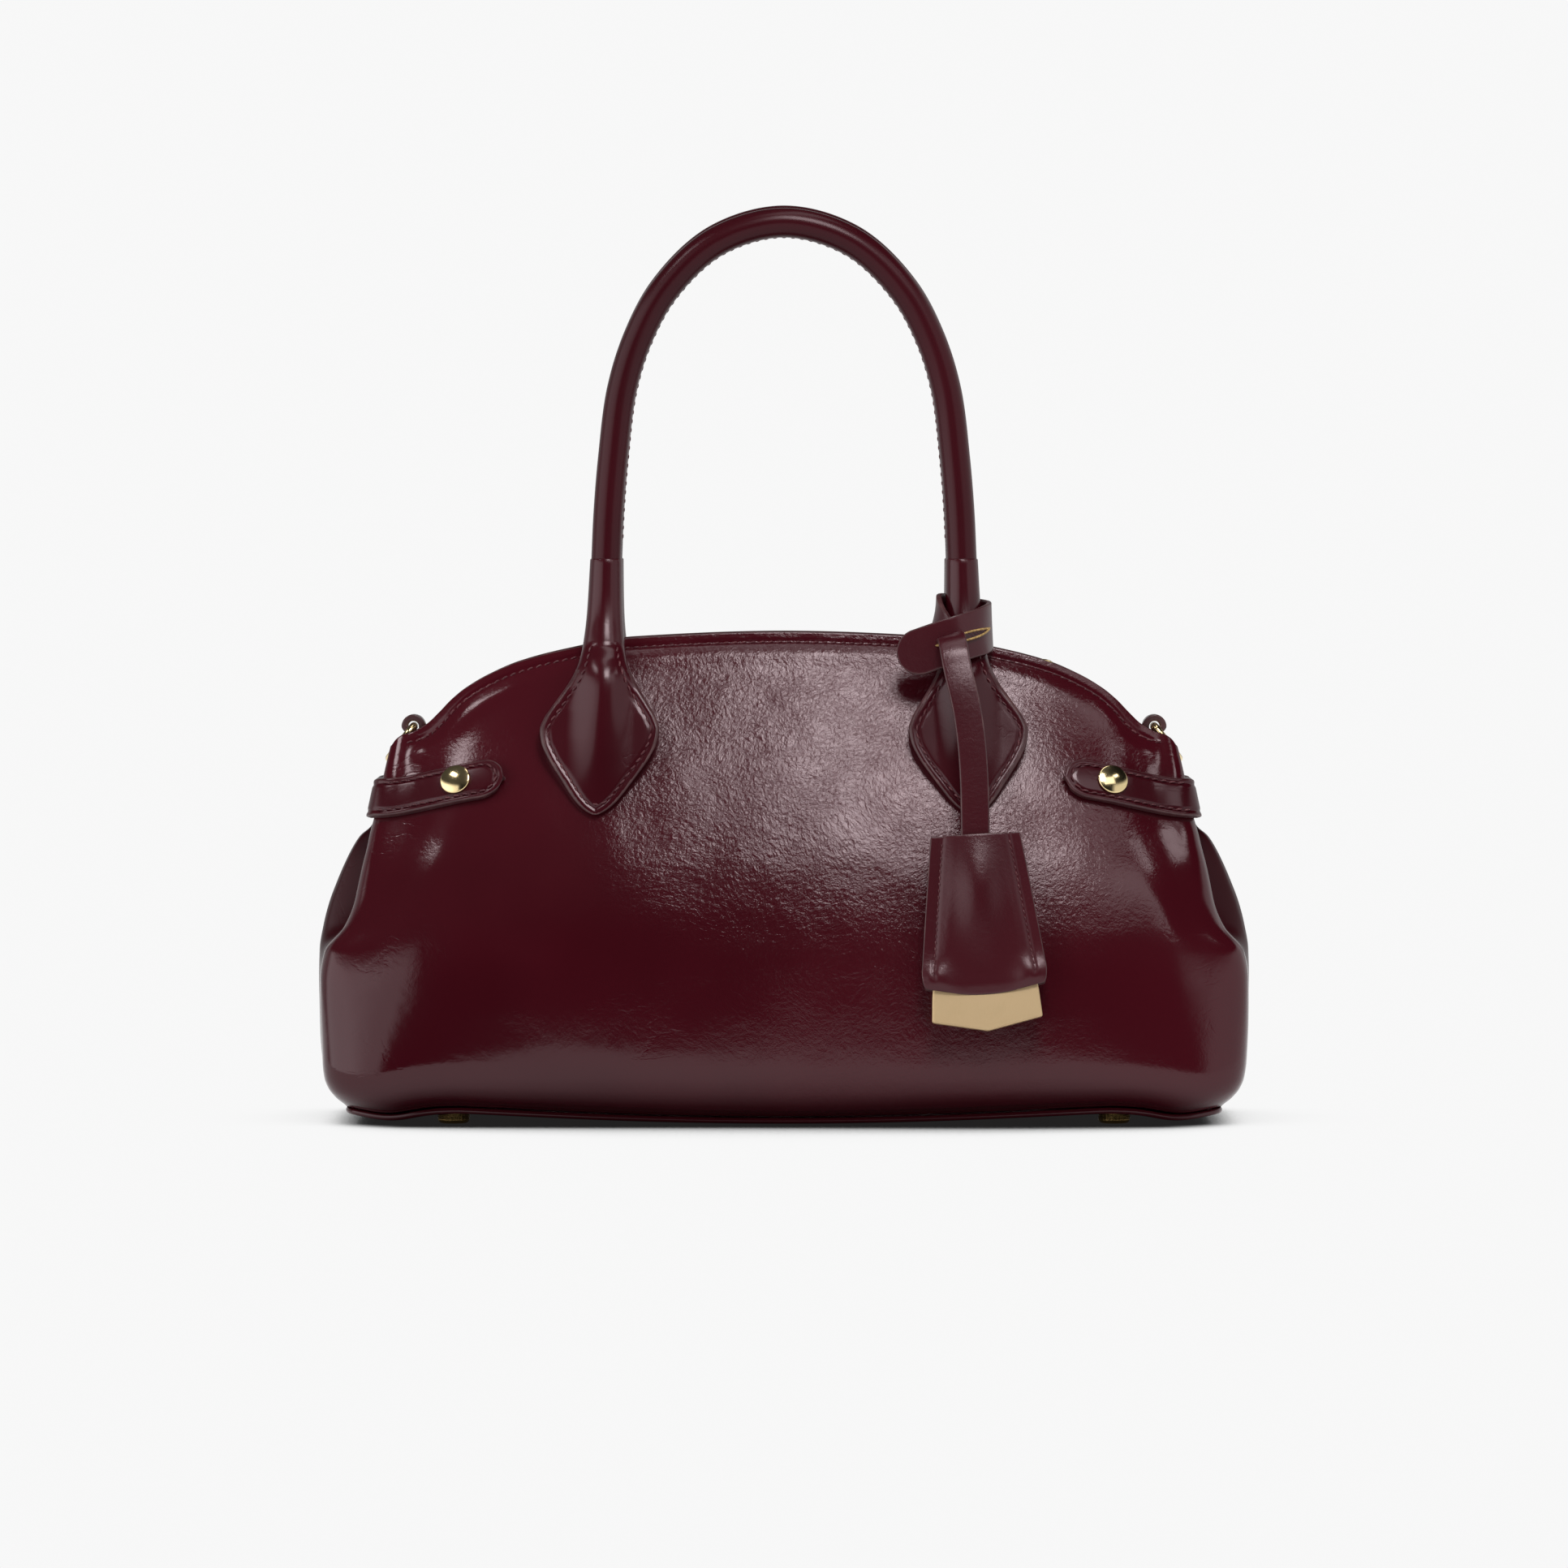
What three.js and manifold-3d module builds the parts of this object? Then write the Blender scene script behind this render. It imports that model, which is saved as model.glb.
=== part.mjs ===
// A soft leather satchel on metal feet, with rolled handles, strapped gussets and a hanging tag.
// Millimetres, +Z up. The front faces -Y and +X is to the right as the front is seen.

import * as THREE from 'three';
import { mergeVertices } from 'three/addons/utils/BufferGeometryUtils.js';
import Module from 'manifold-3d';

const wasm = await Module();
wasm.setup();

// Driving dimensions of the body
const GAP = 0.45;                 // clearance between neighbouring pieces
const ROUND_SIDES = 14;           // facets round a stud or a foot
const LEATHER = 2.0;              // wall of the front and back panels
const GUSSET_LEATHER = 2.2;       // wall of the gussets, measured across the bag
const TAG_STANDS_OUT = 5.6;       // the bag's middle plane lies this far behind the origin
const FRONT_HALF_DEPTH = 70;      // middle of the front panel where it is fullest
const SEAM_HALF_DEPTH = 42;       // side seams where the bag is fullest
const MOUTH_HALF_DEPTH = 16;      // both mouth edges
const CORNER_POWER = 4;           // superellipse power of the rounded vertical corners
const EAR_HALF_WIDTH = 144;       // outer ends of the mouth edges

// The mouth edge, across half the bag: a dome, a short hollow and a level ear.
const MOUTH_EDGE = [
  { x: 0, z: 182.4 },
  { x: 56, z: 180.3 },
  { x: 81, z: 175.8 },
  { x: 98, z: 171.3 },
  { x: 109, z: 166.6 },
  { x: 117, z: 162.0 },
  { x: 122.5, z: 157.5 },
  { x: 127, z: 152.8 },
  { x: 131.5, z: 148.6 },
  { x: 136.5, z: 145.8 },
  { x: 144, z: 144.0 },
];

// Half widths at each height: the side seam, the panels' walls in front of it, the middle of the gusset,
// and the depth of its two tucks.
const SIDE = [
  { z: 6, seam: 157.8, wall: 157.8, middle: 158.3, tuck: 0 },
  { z: 8, seam: 159.6, wall: 159.6, middle: 160.1, tuck: 0 },
  { z: 10, seam: 161.4, wall: 161.4, middle: 161.9, tuck: 0 },
  { z: 13, seam: 164.3, wall: 164.3, middle: 164.8, tuck: 0 },
  { z: 16, seam: 166.6, wall: 166.6, middle: 167.1, tuck: 0 },
  { z: 20, seam: 168.2, wall: 168.2, middle: 168.8, tuck: 0 },
  { z: 26, seam: 169.0, wall: 169.0, middle: 169.7, tuck: 0 },
  { z: 55, seam: 170.0, wall: 169.8, middle: 171.2, tuck: 0 },
  { z: 66, seam: 168.4, wall: 168.0, middle: 171.0, tuck: 0.5 },
  { z: 75, seam: 161.2, wall: 165.2, middle: 169.6, tuck: 4.5 },
  { z: 83, seam: 157.8, wall: 162.3, middle: 167.6, tuck: 6.5 },
  { z: 90, seam: 156.3, wall: 159.5, middle: 165.0, tuck: 7.5 },
  { z: 97, seam: 154.8, wall: 156.6, middle: 162.0, tuck: 8 },
  { z: 104, seam: 153.0, wall: 153.6, middle: 158.4, tuck: 8 },
  { z: 107.5, seam: 152.2, wall: 152.2, middle: 156.0, tuck: 7 },
  { z: 111, seam: 151.3, wall: 151.3, middle: 152.0, tuck: 6 },
  { z: 120, seam: 149.0, wall: 149.0, middle: 148.4, tuck: 5 },
  { z: 131, seam: 147.0, wall: 147.0, middle: 146.2, tuck: 2 },
  { z: 144, seam: 144.0, wall: 144.0, middle: 143.0, tuck: 0 },
];

// How far each column of a panel stands out, from its lower edge (0) to the mouth edge (1).
const FULLNESS = [
  { rise: 0, out: 0.8 },
  { rise: 0.015, out: 0.876 },
  { rise: 0.03, out: 0.925 },
  { rise: 0.05, out: 0.962 },
  { rise: 0.08, out: 0.987 },
  { rise: 0.135, out: 1.0 },
  { rise: 0.2, out: 0.994 },
  { rise: 0.3, out: 0.962 },
  { rise: 0.37, out: 0.913 },
  { rise: 0.5, out: 0.778 },
  { rise: 0.65, out: 0.572 },
  { rise: 0.8, out: 0.335 },
  { rise: 0.92, out: 0.14 },
  { rise: 1, out: 0 },
];

// The straps draw both panels in towards their seams, and the low corners stand out.
const PINCH = { depth: 3.2, from: 8, to: 72 };
const LOW_CORNER = { depth: 3.4, z: 13, height: 15 };
const EAR_POWER = 6;              // the corners' roundness above the straps
const EAR_BLEND = { from: 110, to: 134 };
const WALL_BLEND = 0.84;          // past this share of the width the walls turn in to the seam

// Base, welt and feet
const BASE_LEVEL = 9.4;           // lower edge of the walls over the feet
const BASE_HALF_WIDTH = 164;      // where the lower edge meets the gussets
const BASE_LEATHER = 2.0;
const WELT_OVERHANG = 0.35;       // the base stands out past the walls by this much
const SAG = 3.7;                  // the base hangs this far between the feet
const SAG_POWER = 1.15;
const LOBE = { x: 150, width: 14, sag: 2.7 };   // it hangs outside the feet as well
const CORNER_RISE = 0.4;          // and lifts this far at its ends
const FLOOR_LEVEL = 2.8;          // the floor's height in the measures used here
const FOOT_X = 121;
const FOOT_Y = 38;
const FOOT_PROFILE = [
  { radius: 0, z: 0 },
  { radius: 4.4, z: 0 },
  { radius: 5.5, z: 0.9 },
  { radius: 5.8, z: 1.6 },
  { radius: 5.8, z: 2.6 },
  { radius: 5.2, z: 3.3 },
  { radius: 0, z: 3.3 },
];

// Gusset cut
const GUSSET_TOP = 131.5;         // middle of the scooped top edge
const GUSSET_GAP = 1.3;           // between a gusset and the panels' seam edges
const GUSSET_SCOOP = 12;          // the edge rises this much to the seams
const GUSSET_SCOOP_POWER = 2.5;
const GUSSET_STEPS = [0, 0.3, 0.5, 0.6, 0.7, 0.78, 0.86, 0.93, 1];
const PLEAT_FLAT = 0.45;          // share of the gusset that the flat middle takes
const TUCK_PLACE = 0.78;          // where a tuck is deepest, from the middle (0) to the seam (1)
const TUCK_WIDTH = 0.22;
const SEAM_TURNS = { from: 0.7, to: 1 };   // over this rise the seam edges turn to face the front

// Zip
const ZIP_BELOW_EDGE = 5.5;
const ZIP_TAPE = 1.6;
const ZIP_HALF_WIDTH = 12.4;
const ZIP_HALF_LENGTH = 138.5;
const SLIDER_X = 96;
const SLIDER = { length: 10, height: 3.2 };
const PULL = { length: 26, width: 6.5, height: 1.6 };
const SLIDER_LIFT = 1.9;          // clears the bow of the tape under the pull

// Handles
const HANDLE_RADIUS = 5.6;
const SLEEVE_RADIUS = 6.2;
const SLEEVE_TOP = 209;
const HANDLE_START = 210.2;
const BACK_HANDLE_RISE = 1.2;     // the back handle's arch shows above the front one
const HANDLE_HALF_SIDES = 5;      // sides of half a handle's round section
const HANDLE_STEPS = 30;

// Half of a handle's arch, and how far in front of the middle plane it stands at each height.
const HANDLE_ARCH = [
  { x: 65.4, z: HANDLE_START },
  { x: 64.6, z: 226 },
  { x: 63.0, z: 246 },
  { x: 59.6, z: 272 },
  { x: 54.0, z: 290 },
  { x: 44.2, z: 308 },
  { x: 25.0, z: 326 },
];
const HANDLE_TOP = 333;
const HANDLE_LEAN = [
  { z: 170, y: 29.0 },
  { z: 178, y: 23.4 },
  { z: 186, y: 20.0 },
  { z: 196, y: 17.0 },
  { z: 209, y: 14.6 },
  { z: 245, y: 9.8 },
  { z: 290, y: 7.2 },
  { z: 334, y: 6.4 },
];

// Handle ends: a diamond patch that rolls up into a sleeve. The roll is 0 on the patch and 1 on the sleeve.
const PATCH_LEATHER = 2.2;
const CORE_HALF_WIDTH = 12.5;     // the handle's core shows as a soft ridge on the patch
const PATCH_STANDS_OFF = 0.165;   // the patch leaves the panel by this much for each mm above its point
const HANDLE_END = [
  { z: 116.6, x: 69.0, half: 1.8, ridge: 0, roll: 0 },
  { z: 118.6, x: 68.9, half: 5.2, ridge: 0, roll: 0 },
  { z: 124, x: 68.5, half: 9.9, ridge: 0.3, roll: 0 },
  { z: 132, x: 68.1, half: 15.6, ridge: 1.2, roll: 0 },
  { z: 141, x: 67.8, half: 20.7, ridge: 2.4, roll: 0 },
  { z: 148, x: 67.5, half: 21.7, ridge: 3.3, roll: 0 },
  { z: 154, x: 67.2, half: 18.9, ridge: 4.0, roll: 0 },
  { z: 160, x: 66.8, half: 14.9, ridge: 4.8, roll: 0.05 },
  { z: 166, x: 66.5, half: 11.2, ridge: 5.8, roll: 0.2 },
  { z: 172, x: 66.3, half: 8.8, ridge: 7.0, roll: 0.6 },
  { z: 178, x: 66.1, half: 7.6, ridge: 8.2, roll: 1 },
  { z: 192, x: 65.8, half: 6.6, ridge: 9.8, roll: 1 },
  { z: SLEEVE_TOP, x: 65.4, half: SLEEVE_RADIUS, ridge: 9.8, roll: 1 },
];
const HANDLE_END_SIDES = 16;

// Side straps and studs
const ROUND_END_START = 0.3;      // a round strap end begins at this share of the strap's width
const STRAP_HALF_WIDTH = 7;
const STRAP_LEATHER = 2.8;
const STRAP_TIP_X = 102.4;
const STRAP_TIP_Z = 128.4;
const STRAP_SIDE_Z = 120.8;        // the strap dips as it rounds the side
const STRAP_ACROSS = [-1, 0, 1];
const STRAP_PANEL_STEPS = 11;
const STRAP_CROWDING = 1.3;       // crowds the steps towards the round tip
const STRAP_SIDE_STEPS = 6;
const STUD_X = 119.3;
const STUD_Z = 127.0;
const STUD_PROFILE = [
  { radius: 0, out: 0 },
  { radius: 5.4, out: 0 },
  { radius: 5.6, out: 0.7 },
  { radius: 5.0, out: 1.9 },
  { radius: 3.2, out: 2.6 },
  { radius: 0, out: 2.9 },
];

// Ring tabs and rings
const RING_BAR = { x: 136.8, z: 147.4 };
const RING_WIRE = 1.45;
const RING_LEAN = THREE.MathUtils.degToRad(52.5);   // the ring hangs this far below level
const TAB_BORE = 1.95;
const TAB_OUTER = 4.4;
const TAB_HALF_WIDTH = 5;
const TAB_FOOT = 143.1;
const TAB_ROUND_STEPS = 8;
const RING_OUTLINE = [
  { across: -3.5, down: 0 },
  { across: 3.5, down: 0 },
  { across: 7.2, down: 0.5 },
  { across: 8.8, down: 3.4 },
  { across: 8.7, down: 7.4 },
  { across: 6.2, down: 12.4 },
  { across: 0, down: 15 },
  { across: -6.2, down: 12.4 },
  { across: -8.7, down: 7.4 },
  { across: -8.8, down: 3.4 },
  { across: -7.2, down: 0.5 },
];

// Tag: the knot's route round the right front sleeve, the hanging strap, the bell and its plate
const KNOT_ROUTE = [
  { x: 42.0, y: -33.6, z: 171.5 },
  { x: 49.0, y: -36.2, z: 173.0 },
  { x: 57.0, y: -37.6, z: 175.0 },
  { x: 65.0, y: -36.8, z: 177.5 },
  { x: 71.8, y: -32.2, z: 180.5 },
  { x: 75.0, y: -23.6, z: 183.5 },
  { x: 75.2, y: -16.5, z: 186.5 },
  { x: 71.8, y: -10.8, z: 189.0 },
  { x: 66.0, y: -8.8, z: 190.5 },
  { x: 60.4, y: -10.6, z: 190.5 },
  { x: 57.2, y: -16.0, z: 189.5 },
  { x: 57.2, y: -23.0, z: 187.5 },
  { x: 60.8, y: -29.0, z: 185.0 },
  { x: 67.0, y: -31.8, z: 183.0 },
];
const KNOT_TILT = 0.42;           // the band leans back with the sleeve as it rises
const KNOT_HALF_WIDTH = 8.4;
const KNOT_LEATHER = 2.0;
const KNOT_STEPS = 34;
const TAG_STRAP_ROUTE = [
  { x: 61.6, y: -41.5, z: 179.0 },
  { x: 62.3, y: -45.6, z: 175.5 },
  { x: 63.2, y: -49.0, z: 170.0 },
  { x: 66.4, y: -53.8, z: 156.0 },
  { x: 68.6, y: -57.8, z: 139.5 },
  { x: 69.5, y: -62.2, z: 120.0 },
  { x: 69.6, y: -65.0, z: 110.3 },
];
const TAG_STRAP_HALF_WIDTH = 5.3;
const TAG_STRAP_LEATHER = 2.4;
const TAG_STRAP_STEPS = 16;
const TAG = { x: 69.6, y: -65.4, z: 108.9 };        // middle of the bell's top edge
const TAG_LEAN = THREE.MathUtils.degToRad(-11.7);   // it lies against the sloping panel
const TAG_ROLL = THREE.MathUtils.degToRad(-3.3);
const BELL_DROP = 57.4;
const BELL_HALF_THICKNESS = 3.6;
const BELL_WALL = 1.7;
const BELL_SECTIONS = [
  { down: 0, half: 15.9, thick: 0.62 },
  { down: 4, half: 16.5, thick: 1 },
  { down: 46, half: 21.9, thick: 1 },
  { down: 53, half: 22.2, thick: 0.92 },
  { down: BELL_DROP, half: 20.6, thick: 0.86 },
];
const BELL_ROUND_POWER = 5;
const BELL_POCKET = { from: 36, half: 18, mouthHalf: 20.2 };   // the room for the plate, open below
const BELL_SIDES = 20;
const PLATE_HALF_THICKNESS = 1.3;
const PLATE_OUTLINE = [
  { across: -16.5, down: 38 },
  { across: 16.5, down: 38 },
  { across: 19.3, down: 58 },
  { across: 20.1, down: 67.8 },
  { across: 0, down: 72 },
  { across: -20.1, down: 67.8 },
  { across: -19.3, down: 58 },
];

// Finishes
const leather = new THREE.MeshStandardMaterial({ color: 0x551420, roughness: 0.32, metalness: 0 });
const gold = new THREE.MeshStandardMaterial({ color: 0xd8b46a, roughness: 0.16, metalness: 1 });
const satinGold = new THREE.MeshStandardMaterial({ color: 0xcdb07c, roughness: 0.34, metalness: 1 });
const zipCloth = new THREE.MeshStandardMaterial({ color: 0x3c0e16, roughness: 0.8, metalness: 0 });

const bag = new THREE.Group();
bag.position.set(0, TAG_STANDS_OUT, -FLOOR_LEVEL);

function add(name, geometry, material, holder = bag) {
  const mesh = new THREE.Mesh(geometry, material);
  mesh.name = name;
  holder.add(mesh);
  return mesh;
}

// A smooth curve through a table's rows that never overshoots them, level past both ends.
function smoothCurve(rows, along, value) {
  const at = rows.map((row) => row[along]);
  const v = rows.map((row) => row[value]);
  const last = at.length - 1;
  const secant = at.slice(1).map((a, i) => (v[i + 1] - v[i]) / (a - at[i]));
  const slope = at.map((_, i) => {
    if (i === 0 || i === last) return i === 0 ? secant[0] : secant[last - 1];
    const before = secant[i - 1];
    const after = secant[i];
    return before * after <= 0 ? 0 : (2 * before * after) / (before + after);
  });
  return (x) => {
    if (x <= at[0]) return v[0];
    if (x >= at[last]) return v[last];
    const i = at.findIndex((a) => a > x) - 1;
    const span = at[i + 1] - at[i];
    const s = (x - at[i]) / span;
    const rise = s * s * (3 - 2 * s);
    const start = s * (1 - s) * (1 - s) * span * slope[i];
    const end = s * s * (s - 1) * span * slope[i + 1];
    return v[i] + (v[i + 1] - v[i]) * rise + start + end;
  };
}

const mouthEdge = smoothCurve(MOUTH_EDGE, 'x', 'z');
const seamX = smoothCurve(SIDE, 'z', 'seam');
const wallX = smoothCurve(SIDE, 'z', 'wall');
const middleX = smoothCurve(SIDE, 'z', 'middle');
const tuckDepth = smoothCurve(SIDE, 'z', 'tuck');
const fullness = smoothCurve(FULLNESS, 'rise', 'out');
const handleLean = smoothCurve(HANDLE_LEAN, 'z', 'y');

const bell = (distance, width) => Math.exp(-((distance / width) ** 2));

// The lower edge of the walls: it sags between the feet and outside them, and lifts a little at the ends.
function lowerEdge(x) {
  const size = Math.abs(x);
  const between = SAG * (1 - Math.min(1, size / FOOT_X) ** 2) ** SAG_POWER;
  const outside = LOBE.sag * bell(size - LOBE.x, LOBE.width);
  return BASE_LEVEL - between - outside + CORNER_RISE * THREE.MathUtils.smoothstep(size, LOBE.x, BASE_HALF_WIDTH);
}

// How far a panel has turned to the side at a share of its half width: 1 in front, 0 at the seams.
function roundCorner(size, power) {
  return Math.max(0, 1 - size ** power) ** (1 / power);
}

// Half depth of a panel at a share of the half width (-1 to 1) and a height.
function panelDepth(share, z) {
  const size = Math.abs(share);
  const aboveStrap = THREE.MathUtils.smoothstep(z, EAR_BLEND.from, EAR_BLEND.to);
  const corner = THREE.MathUtils.lerp(roundCorner(size, CORNER_POWER), roundCorner(size, EAR_POWER), aboveStrap);
  const full = SEAM_HALF_DEPTH + (FRONT_HALF_DEPTH - SEAM_HALF_DEPTH) * corner;
  const low = lowerEdge(share * BASE_HALF_WIDTH);
  const high = mouthEdge(size * EAR_HALF_WIDTH);
  const out = fullness(THREE.MathUtils.clamp((z - low) / (high - low), 0, 1));
  const hollow = PINCH.depth * size ** 2 * THREE.MathUtils.smoothstep(z, PINCH.from, PINCH.to) * out;
  const bulge = LOW_CORNER.depth * size ** 4 * bell(z - LOW_CORNER.z, LOW_CORNER.height);
  return MOUTH_HALF_DEPTH + (full - MOUTH_HALF_DEPTH) * out + (bulge - hollow) * corner;
}

// The place across the bag at a share of a panel's half width.
function panelX(share, z) {
  const turn = THREE.MathUtils.smoothstep(Math.abs(share), WALL_BLEND, 1);
  return share * THREE.MathUtils.lerp(wallX(z), seamX(z), turn);
}

const panelDepthAt = (x, z) => panelDepth(THREE.MathUtils.clamp(x / wallX(z), -1, 1), z);

// A closed body from points and triangles, turned so that its faces point out.
function closedBody(points, triangles) {
  let volume = 0;
  const cross = new THREE.Vector3();
  for (const [a, b, c] of triangles) volume += points[a].dot(cross.crossVectors(points[b], points[c]));
  const outward = volume > 0 ? triangles : triangles.map(([a, b, c]) => [a, c, b]);
  const geometry = new THREE.BufferGeometry();
  geometry.setAttribute('position', new THREE.Float32BufferAttribute(points.flatMap((p) => p.toArray()), 3));
  geometry.setIndex(outward.flat());
  geometry.computeVertexNormals();
  return geometry;
}

// A wall between two grids of points, closed along its four edges.
function wall(outer, inner) {
  const rows = outer.length;
  const columns = outer[0].length;
  const points = [...outer.flat(), ...inner.flat()];
  const out = (i, j) => i * columns + j;
  const back = (i, j) => rows * columns + out(i, j);
  const triangles = [];
  const quad = (a, b, c, d) => triangles.push([a, b, c], [a, c, d]);
  for (let i = 0; i < rows - 1; i += 1) {
    for (let j = 0; j < columns - 1; j += 1) {
      quad(out(i, j), out(i, j + 1), out(i + 1, j + 1), out(i + 1, j));
      quad(back(i, j), back(i + 1, j), back(i + 1, j + 1), back(i, j + 1));
    }
    quad(out(i, 0), out(i + 1, 0), back(i + 1, 0), back(i, 0));
    quad(out(i + 1, columns - 1), out(i, columns - 1), back(i, columns - 1), back(i + 1, columns - 1));
  }
  for (let j = 0; j < columns - 1; j += 1) {
    quad(out(0, j + 1), out(0, j), back(0, j), back(0, j + 1));
    quad(out(rows - 1, j), out(rows - 1, j + 1), back(rows - 1, j + 1), back(rows - 1, j));
  }
  return closedBody(points, triangles);
}

// A body lofted through loops of points, capped at both ends or joined end to end.
function loft(loops, endless = false) {
  const sides = loops[0].length;
  const points = loops.flat();
  const triangles = [];
  const count = endless ? loops.length : loops.length - 1;
  for (let i = 0; i < count; i += 1) {
    const next = (i + 1) % loops.length;
    for (let j = 0; j < sides; j += 1) {
      const k = (j + 1) % sides;
      triangles.push([i * sides + j, i * sides + k, next * sides + k]);
      triangles.push([i * sides + j, next * sides + k, next * sides + j]);
    }
  }
  if (!endless) {
    for (const [loop, turn] of [[0, 1], [loops.length - 1, -1]]) {
      const middle = new THREE.Vector3();
      loops[loop].forEach((p) => middle.add(p));
      points.push(middle.divideScalar(sides));
      for (let j = 0; j < sides; j += 1) {
        const edge = [loop * sides + j, loop * sides + ((j + 1) % sides)];
        triangles.push(turn > 0 ? [points.length - 1, edge[1], edge[0]] : [points.length - 1, ...edge]);
      }
    }
  }
  return closedBody(points, triangles);
}

function mirrored(geometry, axis) {
  const points = [];
  const position = geometry.getAttribute('position');
  for (let i = 0; i < position.count; i += 1) {
    const p = new THREE.Vector3().fromBufferAttribute(position, i);
    p[axis] = -p[axis];
    points.push(p);
  }
  const index = Array.from(geometry.getIndex().array);
  const triangles = [];
  for (let i = 0; i < index.length; i += 3) triangles.push(index.slice(i, i + 3));
  return closedBody(points, triangles);
}

function subtract(body, cutter) {
  const solids = [body, cutter].map((geometry) => {
    const bare = geometry.clone();
    bare.deleteAttribute('normal');
    bare.deleteAttribute('uv');
    const merged = mergeVertices(bare);
    return new wasm.Manifold(new wasm.Mesh({
      numProp: 3,
      vertProperties: merged.getAttribute('position').array,
      triVerts: new Uint32Array(merged.getIndex().array),
    }));
  });
  const mesh = solids[0].subtract(solids[1]).getMesh();
  const geometry = new THREE.BufferGeometry();
  geometry.setAttribute('position', new THREE.BufferAttribute(mesh.vertProperties, 3));
  geometry.setIndex(new THREE.BufferAttribute(mesh.triVerts, 1));
  geometry.computeVertexNormals();
  return geometry;
}

// Front and back panels
const PANEL_COLUMNS = 13;         // on each side of the middle
const PANEL_ROWS = 16;
const ROW_CROWDING = 1.4;         // crowds the rows towards the curled lower edge

function panelPoint(share, rise) {
  const low = lowerEdge(share * BASE_HALF_WIDTH);
  const high = mouthEdge(Math.abs(share) * EAR_HALF_WIDTH);
  const z = low + (high - low) * rise;
  return new THREE.Vector3(panelX(share, z), -panelDepth(share, z), z);
}

// How far a panel's seam edge has turned from the side to the front.
const seamTurn = (rise) => (Math.PI / 2) * THREE.MathUtils.smoothstep(rise, SEAM_TURNS.from, SEAM_TURNS.to);

// The way out of a panel, worked out from its neighbouring points, or from the seam's turn along its seams.
function panelNormal(share, rise) {
  const step = 1e-3;
  const up = panelPoint(share, Math.min(1, rise + step)).sub(panelPoint(share, Math.max(0, rise - step)));
  if (Math.abs(share) === 1) {
    const turn = seamTurn(rise);
    const side = share * Math.cos(turn);
    return new THREE.Vector3(side, -Math.sin(turn), -side * (up.x / up.z)).normalize();
  }
  const right = panelPoint(Math.min(1, share + step), rise).sub(panelPoint(Math.max(-1, share - step), rise));
  return right.cross(up).normalize();
}

function panelGeometry() {
  const outer = [];
  const inner = [];
  for (let i = 0; i <= PANEL_ROWS; i += 1) {
    const rise = (i / PANEL_ROWS) ** ROW_CROWDING;
    const outerRow = [];
    const innerRow = [];
    for (let j = -PANEL_COLUMNS; j <= PANEL_COLUMNS; j += 1) {
      const share = Math.sin((Math.PI / 2) * (j / PANEL_COLUMNS));
      const p = panelPoint(share, rise);
      outerRow.push(p);
      innerRow.push(p.clone().addScaledVector(panelNormal(share, rise), -LEATHER));
    }
    outer.push(outerRow);
    inner.push(innerRow);
  }
  return wall(outer, inner);
}

const frontPanel = panelGeometry();
add('front_panel', frontPanel, leather);
add('back_panel', mirrored(frontPanel, 'y'), leather);

// Gussets
function gussetX(share, z) {
  const size = Math.abs(share);
  const flat = 1 - THREE.MathUtils.smoothstep(size, PLEAT_FLAT, 1);
  const reach = Math.min(1, Math.abs(size - TUCK_PLACE) / TUCK_WIDTH);
  const tuck = Math.cos((Math.PI / 2) * reach) ** 2;
  return seamX(z) + (middleX(z) - seamX(z)) * flat - tuckDepth(z) * tuck;
}

// Half width of a gusset, which stays clear of the panels' seam edges.
function gussetHalf(z) {
  const low = lowerEdge(BASE_HALF_WIDTH);
  const rise = (z - low) / (mouthEdge(EAR_HALF_WIDTH) - low);
  return panelDepth(1, z) - GUSSET_GAP - LEATHER * Math.sin(seamTurn(rise));
}

function gussetGeometry() {
  const shares = [...GUSSET_STEPS.slice(1).reverse().map((s) => -s), ...GUSSET_STEPS];
  const low = lowerEdge(BASE_HALF_WIDTH);
  const level = SIDE.map((row) => row.z).filter((z) => z > low && z < GUSSET_TOP - GUSSET_SCOOP / 2);
  const column = (share) => {
    const high = GUSSET_TOP + GUSSET_SCOOP * Math.abs(share) ** GUSSET_SCOOP_POWER;
    return [low, ...level, (level.at(-1) + high) / 2, high];
  };
  const columns = shares.map((share) => column(share).map(
    (z) => new THREE.Vector3(gussetX(share, z), share * gussetHalf(z), z)));
  const behind = columns.map((points) => points.map((p) => p.clone().setX(p.x - GUSSET_LEATHER)));
  return wall(columns, behind);
}

const rightGusset = gussetGeometry();
add('gusset_right', rightGusset, leather);
add('gusset_left', mirrored(rightGusset, 'x'), leather);

// Base panel, from the middle out to the welt
const BASE_RINGS = [0.02, 0.4, 0.75, 1];
const BASE_CORNERS = 9;
const BASE_ENDS = 2;
const BASE_END_CROWN = 0.1;       // each step towards the middle of an end stands out this much more

function baseOutline() {
  const quarter = [];
  for (let i = 0; i <= BASE_CORNERS; i += 1) {
    const share = Math.sin((Math.PI / 2) * (i / BASE_CORNERS));
    const z = lowerEdge(share * BASE_HALF_WIDTH);
    quarter.push([share * seamX(z), panelDepth(share, z)]);
  }
  const [endX, endY] = quarter[BASE_CORNERS];
  for (let i = 1; i <= BASE_ENDS; i += 1) quarter.push([endX + BASE_END_CROWN * i, endY * (1 - i / BASE_ENDS)]);
  const half = [...quarter, ...quarter.slice(0, -1).reverse().map(([x, y]) => [x, -y])];
  const whole = [...half, ...half.slice(1, -1).reverse().map(([x, y]) => [-x, y])];
  return whole.map(([x, y]) => new THREE.Vector2(x, y));
}

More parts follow.
